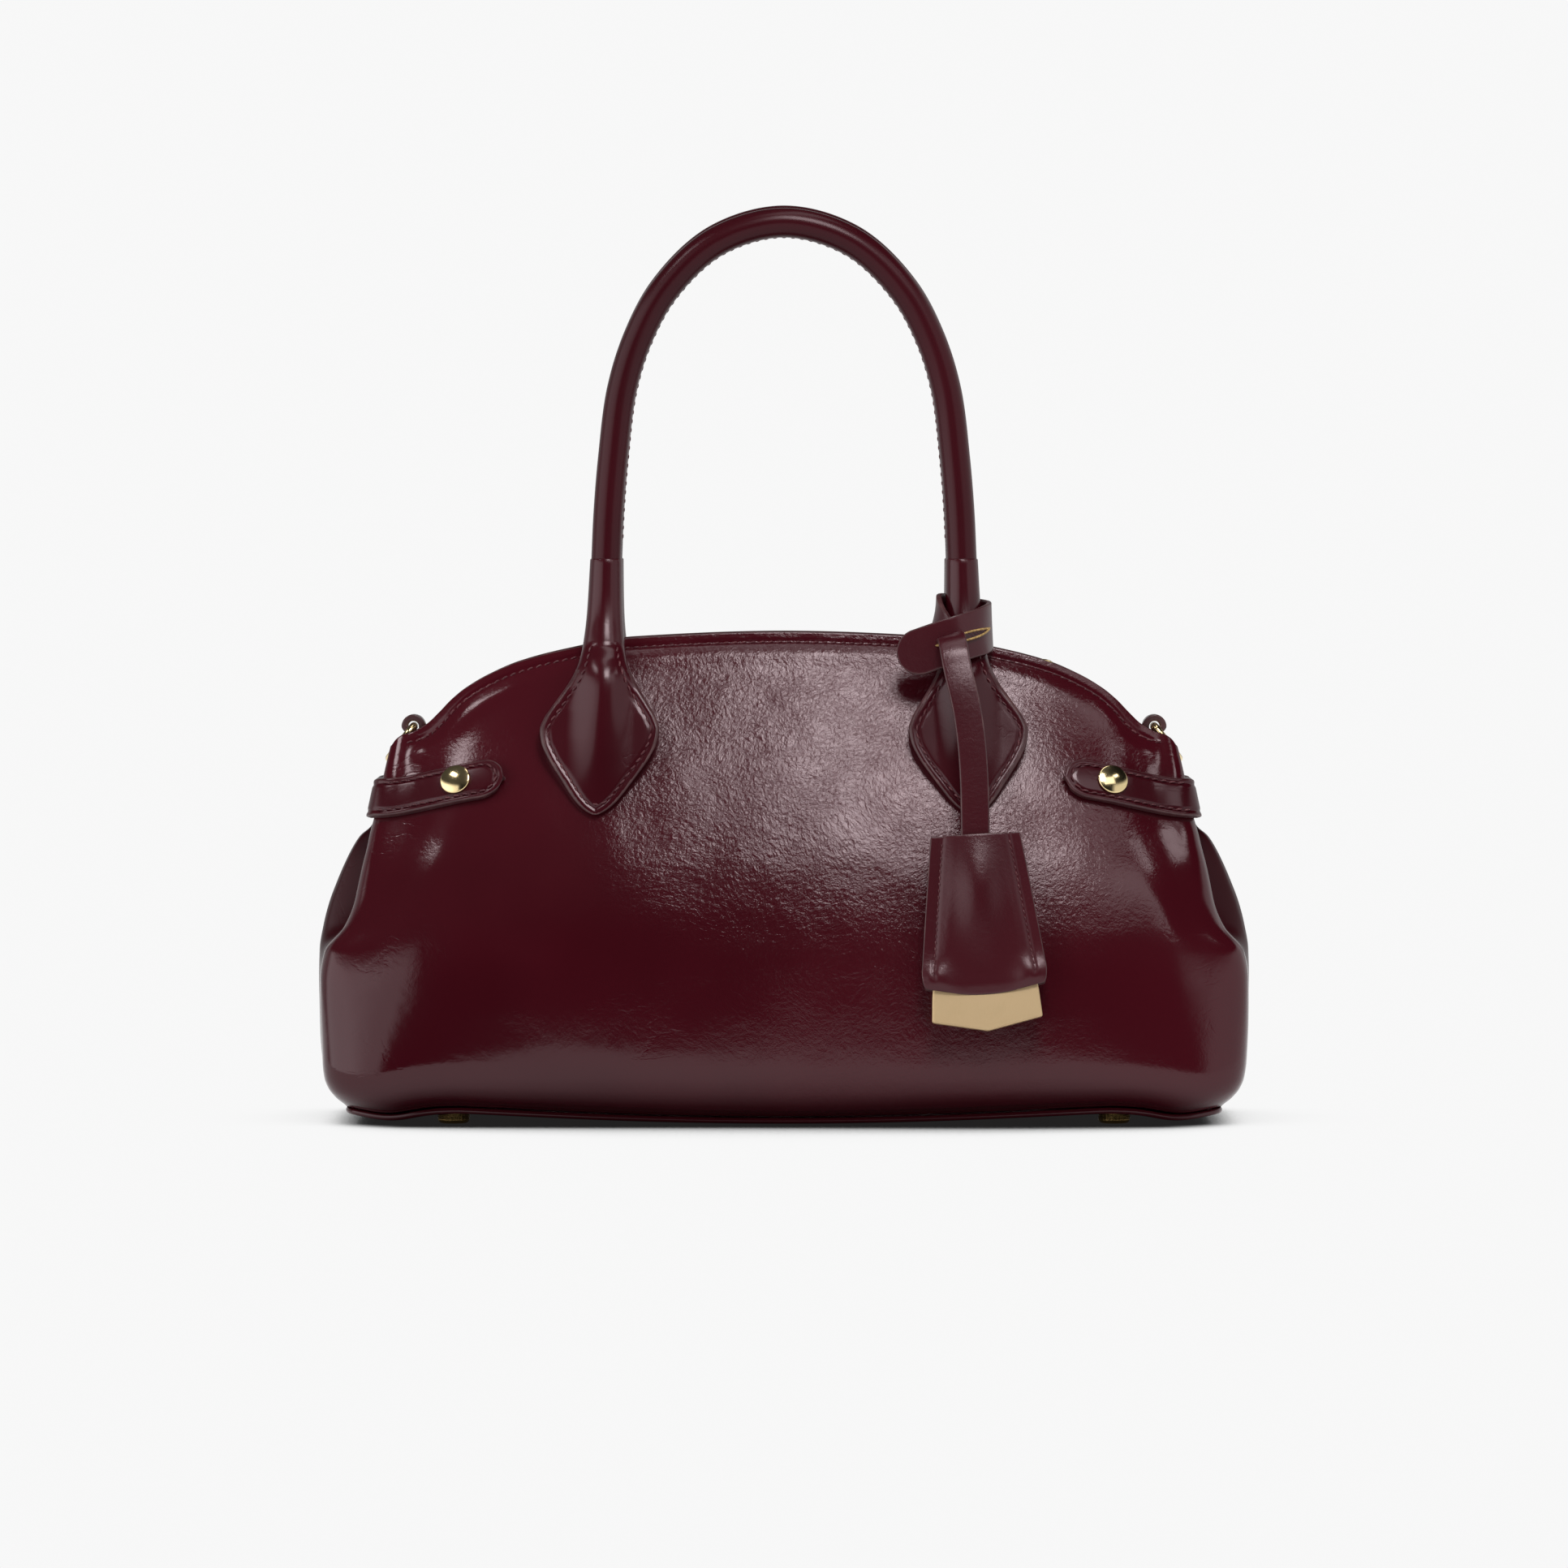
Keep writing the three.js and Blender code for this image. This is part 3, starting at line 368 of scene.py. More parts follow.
def tube(loops: Array, round_trip: bool = False) -> MeshParts:
    """Skins a row of closed loops, capped at both ends or joined end to end.

    Args:
        loops: Points of each loop, loops by sides.
        round_trip: Whether the last loop joins the first.

    Returns:
        The closed tube.
    """
    count, sides = loops.shape[:2]
    parts = MeshParts()
    if round_trip:
        return parts.add(loops, quads(count, sides, True, True))
    ends = np.stack((loops[0].mean(axis=0), loops[-1].mean(axis=0)))
    points = np.concatenate((loops.reshape(-1, 3), ends))
    parts.add(points, quads(count, sides, True))
    around = np.arange(sides)
    after = np.roll(around, -1)
    first = np.stack((np.full(sides, count * sides), after, around), 1)
    last = np.stack((np.full(sides, count * sides + 1), around, after), 1)
    last[:, 1:] += (count - 1) * sides
    parts.faces.extend(np.concatenate((first, last)).tolist())
    parts.finishes.extend([0] * (2 * sides))
    return parts


def circles(out: Array, up: Array, sides: int) -> Array:
    """Points from a path to a circle round each of its points.

    Args:
        out: A way out of the path at each point.
        up: Another way out, square to the first.
        sides: Points round each circle.

    Returns:
        Vectors of length 1, points by sides.
    """
    turn = full_turn(sides)[None, :, None]
    return out[:, None] * np.cos(turn) + up[:, None] * np.sin(turn)


def sweep(path: Array, reference: Array, radius: float, sides: int, round_trip: bool = False) -> MeshParts:
    """Draws a round wire along a path.

    Args:
        path: The wire's middle line.
        reference: A direction that the path never points along.
        radius: The wire's radius.
        sides: Points round the wire.
        round_trip: Whether the path is a closed loop.

    Returns:
        The wire.
    """
    along = np.roll(path, -1, 0) - np.roll(path, 1, 0) if round_trip else np.gradient(path, axis=0)
    out = unit(np.cross(along, reference))
    up = unit(np.cross(out, along))
    return tube(path[:, None] + radius * circles(out, up, sides), round_trip)


def lathe(profile: Array, sides: int, ripple: Array | None = None) -> MeshParts:
    """Turns a profile about the Z axis.

    Args:
        profile: Radius and height of each row.
        sides: Points round the axis.
        ripple: A change of the radius for each row and side.

    Returns:
        The turned form, capped at both ends.
    """
    turn = full_turn(sides)
    radius = profile[:, :1] + (0 if ripple is None else ripple)
    height = np.broadcast_to(profile[:, 1:2], (len(profile), sides))
    return tube(np.stack([radius * np.cos(turn), radius * np.sin(turn), height], -1))


def rounded_block(size: tuple[float, float, float], power: float, sides: int, rows: int) -> MeshParts:
    """Makes a block with well rounded edges about the origin.

    Args:
        size: Its whole size along each axis.
        power: How square it is; 2 would be a ball.
        sides: Points round it.
        rows: Points from its underside to its top.

    Returns:
        The block.
    """
    turn = full_turn(sides)[None]
    rise = np.linspace(-math.pi / 2, math.pi / 2, rows)[1:-1, None]

    def soft(wave: Array) -> Array:
        """Squares off a sine or cosine."""
        return np.sign(wave) * np.abs(wave) ** (2 / power)

    level = soft(np.cos(rise))
    x = level * soft(np.cos(turn)) * size[0] / 2
    y = level * soft(np.sin(turn)) * size[1] / 2
    z = np.broadcast_to(soft(np.sin(rise)) * size[2] / 2, x.shape)
    return tube(np.stack([x, y, z], -1))


def make_piece(name: str, parts: MeshParts, finishes: Sequence[bpy.types.Material],
               nodes: Sequence[str] = (), body: Body = Body.BAG) -> bpy.types.Object:
    """Makes a piece of the bag from its gathered parts.

    Args:
        name: The piece's name.
        parts: Its points and faces in millimetres.
        finishes: The materials that its finish numbers stand for.
        nodes: The CAD nodes that it stands for.
        body: The body that it rides on.

    Returns:
        The new object.
    """
    mesh = bpy.data.meshes.new(name)
    points = (np.concatenate(parts.points) + BAG_PLACE) * MM
    mesh.from_pydata(points.tolist(), [], parts.faces)
    for finish in finishes:
        mesh.materials.append(finish)
    mesh.polygons.foreach_set("material_index", parts.finishes)
    mesh.polygons.foreach_set("use_smooth", [True] * len(parts.faces))
    work = bmesh.new()
    work.from_mesh(mesh)
    bmesh.ops.recalc_face_normals(work, faces=work.faces)
    work.to_mesh(mesh)
    work.free()
    piece = bpy.data.objects.new(name, mesh)
    bpy.context.scene.collection.objects.link(piece)
    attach(piece, body.value)
    if nodes:
        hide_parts(*nodes)
    LOG.info("%s: %d faces", name, len(mesh.polygons))
    return piece


@dataclass(frozen=True)
class Stitching:
    """A row of single stitches, each a short thread that dips into the leather at both ends."""

    pitch: float = 3.3
    length: float = 2.5
    radius: float = 0.38
    slant: float = 0.2
    end_turn: float = 0.25
    middle_lift: float = 0.75
    end_drop: float = 1.1
    sides: int = 6
    steps: int = 6

    def row(self, path: Array, outward: Array) -> MeshParts:
        """Sews along a path.

        Args:
            path: Points on the leather's face.
            outward: The way out of the leather at each point.

        Returns:
            The stitches.
        """
        count = max(2, int(walked(path)[-1] / self.pitch))
        middle = even_path(path, 2 * count + 1)
        nearest = np.linalg.norm(path[None] - middle[:, None], axis=2).argmin(axis=1)
        along = unit(np.gradient(middle, axis=0))[1::2]
        out = unit(outward[nearest])[1::2]
        middle = middle[1::2]
        across = unit(np.cross(out, along))
        run = along * math.cos(self.slant) + across * math.sin(self.slant)
        side = unit(np.cross(out, run))
        place = -np.cos(np.linspace(self.end_turn, math.pi - self.end_turn, self.steps))
        thick = self.radius * np.sqrt(1 - place**4)
        lift = self.radius * (self.middle_lift - self.end_drop * place**2)
        turn = full_turn(self.sides)

        def spread(vectors: Array, amount: Array) -> Array:
            """Moves each stitch's points along its own direction."""
            return vectors[:, None, None] * amount[None, :, :, None]

        ones = np.ones((self.steps, self.sides))
        points = middle[:, None, None] + spread(run, (place * self.length / 2)[:, None] * ones)
        points = points + spread(out, lift[:, None] + thick[:, None] * np.sin(turn))
        points = points + spread(side, thick[:, None] * np.cos(turn))
        one = quads(self.steps, self.sides, True)
        step = self.steps * self.sides
        faces = (one[None] + (np.arange(count) * step)[:, None, None]).reshape(-1, 4)
        return MeshParts().add(points, faces)


# Finishes


class Socket:
    """A shader value with arithmetic: each operation adds one Math node."""

    def __init__(self, shader: "Shader", source: bpy.types.NodeSocket) -> None:
        """Wraps an output socket of a shader's node."""
        self.shader = shader
        self.source = source

    def math(self, operation: str, *values: "Socket | float") -> "Socket":
        """Adds a Math node.

        Args:
            operation: The node's operation.
            values: All its inputs in order.

        Returns:
            The node's result.
        """
        return self.shader.node("ShaderNodeMath", {"operation": operation}, dict(enumerate(values)))

    def __add__(self, other: "Socket | float") -> "Socket":
        """Adds."""
        return self.math("ADD", self, other)

    def __radd__(self, other: float) -> "Socket":
        """Adds to a number."""
        return self.math("ADD", other, self)

    def __sub__(self, other: "Socket | float") -> "Socket":
        """Subtracts."""
        return self.math("SUBTRACT", self, other)

    def __rsub__(self, other: float) -> "Socket":
        """Subtracts from a number."""
        return self.math("SUBTRACT", other, self)

    def __mul__(self, other: "Socket | float") -> "Socket":
        """Multiplies."""
        return self.math("MULTIPLY", self, other)

    def __rmul__(self, other: float) -> "Socket":
        """Multiplies a number."""
        return self.math("MULTIPLY", other, self)

    def __abs__(self) -> "Socket":
        """Drops the sign."""
        return self.math("ABSOLUTE", self)

    def larger(self, other: "Socket | float") -> "Socket":
        """Takes the larger of two values."""
        return self.math("MAXIMUM", self, other)

    def eased(self, low: float, high: float) -> "Socket":
        """Eases from 0 at low to 1 at high."""
        return self.shader.node("ShaderNodeMapRange", {"interpolation_type": "SMOOTHSTEP"},
                                {"Value": self, "From Min": low, "From Max": high})


class Shader:
    """The node tree of one material or of the studio's world."""

    def __init__(self, owner: bpy.types.Material | bpy.types.World) -> None:
        """Starts with an empty tree."""
        self.owner = owner
        self.owner.use_nodes = True
        self.tree = self.owner.node_tree
        self.tree.nodes.clear()

    def node(self, kind: str, settings: dict | None = None, inputs: dict | None = None,
             output: int | str = 0) -> Socket | None:
        """Adds a node.

        Args:
            kind: The node's type.
            settings: Its own settings, set first.
            inputs: Values or links of its sockets, by name or number.
            output: Which of its outputs to give back.

        Returns:
            The output, if the node has any.
        """
        made = self.tree.nodes.new(kind)
        for key, value in (settings or {}).items():
            setattr(made, key, value)
        for key, value in (inputs or {}).items():
            if isinstance(value, Socket):
                self.tree.links.new(value.source, made.inputs[key])
            else:
                made.inputs[key].default_value = value
        return Socket(self, made.outputs[output]) if made.outputs else None

    def place(self) -> Socket:
        """Gives the place on the object, in metres."""
        return self.node("ShaderNodeTexCoord", output="Object")

    def noise(self, place: Socket, scale: float, detail: float = 2, distortion: float = 0.0,
              fineness: float = 0.5, output: str = "Fac") -> Socket:
        """Adds a noise texture.

        Args:
            place: Where it is read.
            scale: How many of its patches go into a metre.
            detail: How many finer layers it has.
            distortion: How much it is swirled.
            fineness: How strong the finer layers are.
            output: Its grey value, or its colour.

        Returns:
            The chosen output.
        """
        sockets = {"Vector": place, "Scale": scale, "Detail": detail, "Roughness": fineness,
                   "Distortion": distortion}
        return self.node("ShaderNodeTexNoise", None, sockets, output)

    def vector(self, operation: str, *values: "Socket | tuple", output: str = "Vector") -> Socket:
        """Adds a Vector Math node.

        Args:
            operation: The node's operation.
            values: All its inputs in order.
            output: Which of its outputs to give back.

        Returns:
            The node's result.
        """
        return self.node("ShaderNodeVectorMath", {"operation": operation}, dict(enumerate(values)), output)

    def blend(self, share: Socket, low: Colour | Socket, high: Colour | Socket) -> Socket:
        """Mixes two colours by a share."""
        return self.node("ShaderNodeMix", {"data_type": "RGBA"}, {0: share, 6: low, 7: high}, output=2)

    def bump(self, height: Socket, distance: float) -> Socket:
        """Turns a height of 0 to 1 into a normal, with the given depth in millimetres."""
        sockets = {"Height": height, "Distance": distance * MM, "Strength": 1.0}
        return self.node("ShaderNodeBump", None, sockets)

    def finish(self, **inputs: "Socket | float | Colour") -> bpy.types.Material:
        """Closes the material with a principled surface.

        Args:
            inputs: The surface's sockets, with underscores for spaces.

        Returns:
            The finished material.
        """
        named = {key.replace("_", " "): value for key, value in inputs.items()}
        surface = self.node("ShaderNodeBsdfPrincipled", None, named)
        self.node("ShaderNodeOutputMaterial", None, {"Surface": surface})
        return self.owner


@dataclass(frozen=True)
class LeatherFinish:
    """Waxed leather: deep colour, high gloss, a fine crinkled grain and hair creases."""

    name: str
    deep: Colour = (0.048, 0.0034, 0.0072, 1)
    warm: Colour = (0.064, 0.0050, 0.0100, 1)
    gloss: float = 0.11
    loose_gloss: float = 0.21
    grain_per_metre: float = 600.0
    grain_depth: float = 0.27
    crease_depth: float = 0.016
    slack_depth: float = 0.28
    shine: float = 0.5
    tint: Colour = (1.0, 0.83, 0.865, 1)
    drift_per_metre: float = 28.0
    drift: float = 0.02
    creases_per_metre: float = 110.0
    crease_stretch: tuple[float, float, float] = (0.45, 1.0, 1.0)
    crease_width: float = 0.035
    loose_middle: tuple[float, float, float] = (0.03, -0.055, 0.12)
    loose_reach: tuple[float, float] = (0.04, 0.13)
    loose_patches: float = 0.2
    firm_grain: float = 0.05
    firm_slack: float = 0.35
    loose_slack: float = 0.8
    cloud_gloss: float = 0.08

    def build(self) -> bpy.types.Material:
        """Makes the material. The leather is looser in the middle of the front, and grainier there."""
        shader = Shader(bpy.data.materials.new(self.name))
        place = shader.place()
        drift = shader.noise(place, self.drift_per_metre, output="Color")
        bent = shader.vector("MULTIPLY_ADD", drift, (self.drift,) * 3, place)
        drawn = shader.vector("MULTIPLY", bent, self.crease_stretch)
        away = shader.vector("DISTANCE", place, self.loose_middle, output="Value")
        patches = shader.noise(place, 17.0).eased(0.45, 0.68) * self.loose_patches
        loose = (1 - away.eased(*self.loose_reach)) * (1 - self.loose_patches) + patches
        grain = shader.noise(bent, self.grain_per_metre, 3, 0.3, 0.68)
        grain = grain * (self.grain_depth * (self.firm_grain + loose * (1 - self.firm_grain)))
        slack = shader.noise(bent, 70.0) * (self.slack_depth * (self.firm_slack + loose * self.loose_slack))
        cloud = shader.noise(place, 9.0, 3)
        line = 1 - abs(shader.noise(drawn, self.creases_per_metre, 4) - 0.5).eased(0.0, self.crease_width)
        crease = line * shader.noise(place, 30.0, 1).eased(0.5, 0.66)
        gloss = self.gloss + loose * (self.loose_gloss - self.gloss)
        return shader.finish(
            Base_Color=shader.blend(cloud.eased(0.35, 0.68), self.deep, self.warm),
            Roughness=gloss + (cloud - 0.5) * self.cloud_gloss,
            Specular_IOR_Level=self.shine,
            Specular_Tint=self.tint,
            Normal=shader.bump(grain + slack - crease * self.crease_depth, 1.0),
        )


@dataclass(frozen=True)
class MottledFinish:
    """A dull finish: pale patches on a deeper colour, with a fine texture.

    Patches and texture are each a noise, given as its patches in a metre and its number of layers.
    """

    name: str
    colour: Colour
    pale: Colour
    gloss: float
    patches: tuple[float, int]
    patch_edge: tuple[float, float]
    texture: tuple[float, int]
    depth: float
    dull_patches: bool = False
    gloss_change: float = 0.2

    def build(self) -> bpy.types.Material:
        """Makes the material."""
        shader = Shader(bpy.data.materials.new(self.name))
        place = shader.place()
        patch = shader.noise(place, *self.patches)
        texture = shader.noise(place, *self.texture)
        dull = patch if self.dull_patches else texture
        return shader.finish(
            Base_Color=shader.blend(patch.eased(*self.patch_edge), self.colour, self.pale),
            Roughness=self.gloss + (dull - 0.5) * self.gloss_change,
            Normal=shader.bump(texture, self.depth),
        )


@dataclass(frozen=True)
class MetalFinish:
    """Plated metal with a faint haze of wear."""

    name: str
    colour: Colour
    haze: Colour
    gloss: float
    brush: float = 0.0

    def build(self) -> bpy.types.Material:
        """Makes the material."""
        shader = Shader(bpy.data.materials.new(self.name))
        place = shader.place()
        wear = shader.noise(place, 70.0, 4)
        stretched = shader.vector("MULTIPLY", place, (1.0, 1.0, 0.04))
        hairline = shader.noise(stretched, 2600.0, 2)
        return shader.finish(
            Base_Color=shader.blend(wear.eased(0.42, 0.72), self.colour, self.haze),
            Metallic=1.0,
            Roughness=self.gloss + (wear - 0.5) * 0.08 + (hairline - 0.5) * (0.05 + self.brush),
            Normal=shader.bump(hairline, 0.004 + 0.02 * self.brush),
        )


@dataclass(frozen=True)
class ZipClothFinish:
    """The zip's woven tape: fine twill ribs along its length."""

    name: str = "zip_tape"
    deep: Colour = (0.016, 0.003, 0.005, 1)
    lit: Colour = (0.05, 0.008, 0.013, 1)

    def build(self) -> bpy.types.Material:
        """Makes the material."""
        shader = Shader(bpy.data.materials.new(self.name))
        place = shader.place()
        rib = shader.node("ShaderNodeTexWave", {"wave_type": "BANDS", "bands_direction": "Y"},
                          {"Vector": place, "Scale": 330.0, "Distortion": 0.6, "Detail": 1.0}, "Fac")
        pick = shader.node("ShaderNodeTexWave", {"wave_type": "BANDS", "bands_direction": "DIAGONAL"},
                           {"Vector": place, "Scale": 260.0, "Distortion": 0.4, "Detail": 1.0}, "Fac")
        weave = rib * 0.6 + pick * 0.4
        return shader.finish(
            Base_Color=shader.blend(weave, self.deep, self.lit),
            Roughness=0.7 + (weave - 0.5) * 0.2,
            Normal=shader.bump(weave, 0.18),
        )


class Finishes:
    """All the bag's materials, made once."""

    def __init__(self) -> None:
        """Makes the materials."""
        self.hide = LeatherFinish("panel_leather").build()
        self.trim = LeatherFinish(
            "trim_leather", deep=(0.038, 0.0027, 0.0058, 1), warm=(0.050, 0.0038, 0.0078, 1), gloss=0.2,
            loose_gloss=0.2, grain_depth=0.013, crease_depth=0.012, slack_depth=0.05, shine=0.42).build()
        self.rolled = LeatherFinish(
            "rolled_leather", deep=(0.034, 0.0024, 0.0052, 1), warm=(0.045, 0.0034, 0.0070, 1), gloss=0.26,
            loose_gloss=0.26, grain_depth=0.02, crease_depth=0.01, slack_depth=0.05, shine=0.25).build()
        self.tag = LeatherFinish(
            "tag_leather", deep=(0.044, 0.0032, 0.0068, 1), warm=(0.058, 0.0045, 0.0092, 1), gloss=0.29,
            loose_gloss=0.29, grain_depth=0.1, crease_depth=0.02, slack_depth=0.12).build()
        # A darker, duller copy of the leather for the gussets: painted shade for the pleats, which lie in the
        # panels' shadow.
        self.gusset = LeatherFinish(
            "gusset_leather", deep=(0.028, 0.0020, 0.0042, 1), warm=(0.038, 0.0028, 0.0058, 1), gloss=0.3,
            loose_gloss=0.3, grain_depth=0.04, crease_depth=0.02, slack_depth=0.1, shine=0.22).build()
        self.edge = MottledFinish(
            "edge_paint", (0.060, 0.017, 0.020, 1), (0.11, 0.045, 0.046, 1), gloss=0.36, patches=(160.0, 3),
            patch_edge=(0.45, 0.75), texture=(900.0, 2), depth=0.06, dull_patches=True).build()
        self.thread = MottledFinish(
            "thread", (0.075, 0.010, 0.016, 1), (0.13, 0.030, 0.036, 1), gloss=0.34, patches=(90.0, 2),
            patch_edge=(0.4, 0.7), texture=(1600.0, 2), depth=0.12).build()
        self.raw = MottledFinish(
            "raw_edge", (0.3, 0.17, 0.05, 1), (0.55, 0.36, 0.13, 1), gloss=0.5, patches=(900.0, 3),
            patch_edge=(0.35, 0.65), texture=(900.0, 3), depth=0.1).build()
        self.gold = MetalFinish("polished_gold", (0.88, 0.70, 0.38, 1), (0.78, 0.60, 0.31, 1), 0.13).build()
        # A darker copy of the gold for the feet: painted shade, as they stand in the shadow under the bag.
        self.foot_shade_gold = MetalFinish("foot_gold_painted_shade", (0.5, 0.33, 0.12, 1), (0.34, 0.21, 0.08, 1), 0.3).build()
        self.satin = MetalFinish("satin_gold", (0.72, 0.53, 0.31, 1), (0.68, 0.50, 0.29, 1), 0.52,
                                 brush=0.1).build()
        self.zip_cloth = ZipClothFinish().build()


# The body's shape, which every piece on it shares


@dataclass(frozen=True)
class BodyShape:
    """The outer faces of the panels and the gussets."""

    gap: float = 0.45
    leather: float = 2.0
    front_half_depth: float = 70.0
    seam_half_depth: float = 42.0
    mouth_half_depth: float = 16.0
    corner_power: float = 4.0
    ear_power: float = 6.0
    ear_half_width: float = 144.0
    base_level: float = 9.4
    base_half_width: float = 164.0
    sag: float = 3.7
    sag_power: float = 1.15
    lobe_x: float = 150.0
    lobe_width: float = 14.0
    lobe_sag: float = 2.7
    corner_rise: float = 0.4
    corner_bulge: float = 3.4
    bulge_z: float = 13.0
    bulge_width: float = 15.0
    pinch: float = 3.2
    pinch_rise: tuple[float, float] = (8.0, 72.0)
    fold: float = 0.8
    fold_place: tuple[float, float] = (137.0, 96.0)
    fold_size: tuple[float, float] = (15.0, 11.0)
    ear_rise: tuple[float, float] = (110.0, 134.0)
    seam_from: float = 0.84
    foot_x: float = 121.0
    foot_y: float = 38.0
    seam_turns: tuple[float, float] = (0.7, 1.0)
    mouth_edge: SmoothCurve = SmoothCurve((
        (-56, 180.3), (0, 182.4), (56, 180.3), (81, 175.8), (98, 171.3), (109, 166.6), (117, 162.0),
        (122.5, 157.5), (127, 152.8), (131.5, 148.6), (136.5, 145.9), (140.6, 144.9), (142.9, 143.2),
        (144, 141.0)))
    seam_x: SmoothCurve = SmoothCurve((
        (6, 157.8), (8, 159.6), (10, 161.4), (13, 164.3), (16, 166.6), (20, 168.2), (26, 169.0), (55, 170.0),
        (66, 168.4), (75, 161.2), (83, 157.8), (90, 156.3), (97, 154.8), (104, 153.0), (107.5, 152.2),
        (111, 151.3), (120, 149.0), (131, 147.0), (144, 144.0)))
    wall_x: SmoothCurve = SmoothCurve((
        (6, 157.8), (8, 159.6), (10, 161.4), (13, 164.3), (16, 166.6), (20, 168.2), (26, 169.0), (55, 169.8),
        (66, 168.0), (80, 163.4), (95, 157.4), (107.5, 152.2), (111, 151.3), (120, 149.0), (131, 147.0),
        (144, 144.0)))
    middle_x: SmoothCurve = SmoothCurve((
        (6, 158.3), (8, 160.1), (10, 161.9), (13, 164.8), (16, 167.1), (20, 168.8), (26, 169.7), (55, 171.2),
        (66, 171.0), (75, 169.6), (83, 167.6), (90, 165.0), (97, 162.0), (104, 158.4), (107.5, 156.0),
        (111, 152.0), (120, 148.4), (131, 146.2), (144, 143.0)))
    tuck: SmoothCurve = SmoothCurve((
        (6, 0), (55, 0), (66, 0.5), (75, 4.5), (83, 6.5), (90, 7.5), (97, 8), (104, 8), (107.5, 7), (111, 6),
        (120, 5), (131, 2), (144, 0)))
    fullness: SmoothCurve = SmoothCurve((
        (0, 0.80), (0.015, 0.876), (0.03, 0.925), (0.05, 0.962), (0.08, 0.988), (0.11, 0.999), (0.13, 1.0),
        (0.2, 0.993), (0.3, 0.962), (0.37, 0.913), (0.5, 0.778), (0.65, 0.572), (0.8, 0.335), (0.92, 0.14),
        (1, 0)))

    def lower_edge(self, x: Array | float) -> Array:
        """Gives the height of the walls' lower edge, which sags between and beside the feet.

        Args:
            x: Places across the bag.

        Returns:
            The edge's height at each place.
        """
        size = np.abs(x)
        hanging = self.sag * (1 - np.minimum(size / self.foot_x, 1) ** 2) ** self.sag_power
        lobe = self.lobe_sag * hump(size - self.lobe_x, self.lobe_width)
        rise = self.corner_rise * smoothstep(size, self.lobe_x, self.base_half_width)
        return self.base_level - hanging - lobe + rise

    def panel_ends(self, share: Array | float) -> tuple[Array, Array]:
        """Gives the heights of a panel's lower and upper edge at a share of its half width."""
        high = self.mouth_edge(np.abs(share) * self.ear_half_width)
        return self.lower_edge(np.asarray(share) * self.base_half_width), high

    def panel_depth(self, share: Array | float, z: Array | float) -> Array:
        """Gives how far a panel stands from the middle plane.

        Args:
            share: Places across the panel, from -1 to 1.
            z: Heights.

        Returns:
            The distance at each place.
        """
        size = np.abs(share)
        corner, ear = (np.maximum(0, 1 - size**p) ** (1 / p) for p in (self.corner_power, self.ear_power))
        corner = corner + (ear - corner) * smoothstep(z, *self.ear_rise)
        full = self.seam_half_depth + (self.front_half_depth - self.seam_half_depth) * corner
        low, high = self.panel_ends(share)
        out = self.fullness(np.clip((z - low) / (high - low), 0, 1))
        hollow = self.pinch * size**2 * smoothstep(z, *self.pinch_rise) * out
        bulge = self.corner_bulge * size**4 * hump(z - self.bulge_z, self.bulge_width)
        beside, above = size * self.wall_x(z) - self.fold_place[0], z - self.fold_place[1]
        fold = self.fold * hump(beside, self.fold_size[0]) * hump(above, self.fold_size[1])
        return self.mouth_half_depth + (full - self.mouth_half_depth) * out + (bulge + fold - hollow) * corner

    def panel_x(self, share: Array | float, z: Array | float) -> Array:
        """Gives the place across the bag at a share of a panel's half width."""
        wall = self.wall_x(z)
        return share * (wall + (self.seam_x(z) - wall) * smoothstep(np.abs(share), self.seam_from, 1))

    def panel_depth_at(self, x: Array | float, z: Array | float) -> Array:
        """Gives a panel's distance from the middle plane at a place seen from the front."""
        return self.panel_depth(np.clip(x / self.wall_x(z), -1, 1), z)

    def panel_facing(self, x: float, z: float, step: float = 4.0) -> Array:
        """Gives the way out of the front panel at a place seen from the front.

        Args:
            x: The place across the bag.
            z: The place's height.
            step: How far its neighbours are.

        Returns:
            A vector of length 1.
        """
        slope_x = (self.panel_depth_at(x + step, z) - self.panel_depth_at(x - step, z)) / (2 * step)
        slope_z = (self.panel_depth_at(x, z + step) - self.panel_depth_at(x, z - step)) / (2 * step)
        return unit(np.array((-slope_x, -1.0, -slope_z), dtype=float))

    def gusset_half(self, z: Array) -> Array:
        """Gives a gusset's half width, which stays clear of the panels' seam edges."""
        low, high = self.panel_ends(1.0)
        turn = math.pi / 2 * smoothstep((z - low) / (high - low), *self.seam_turns)
        return self.panel_depth(1.0, z) - self.gap - self.leather * np.sin(turn)


# The leather shell


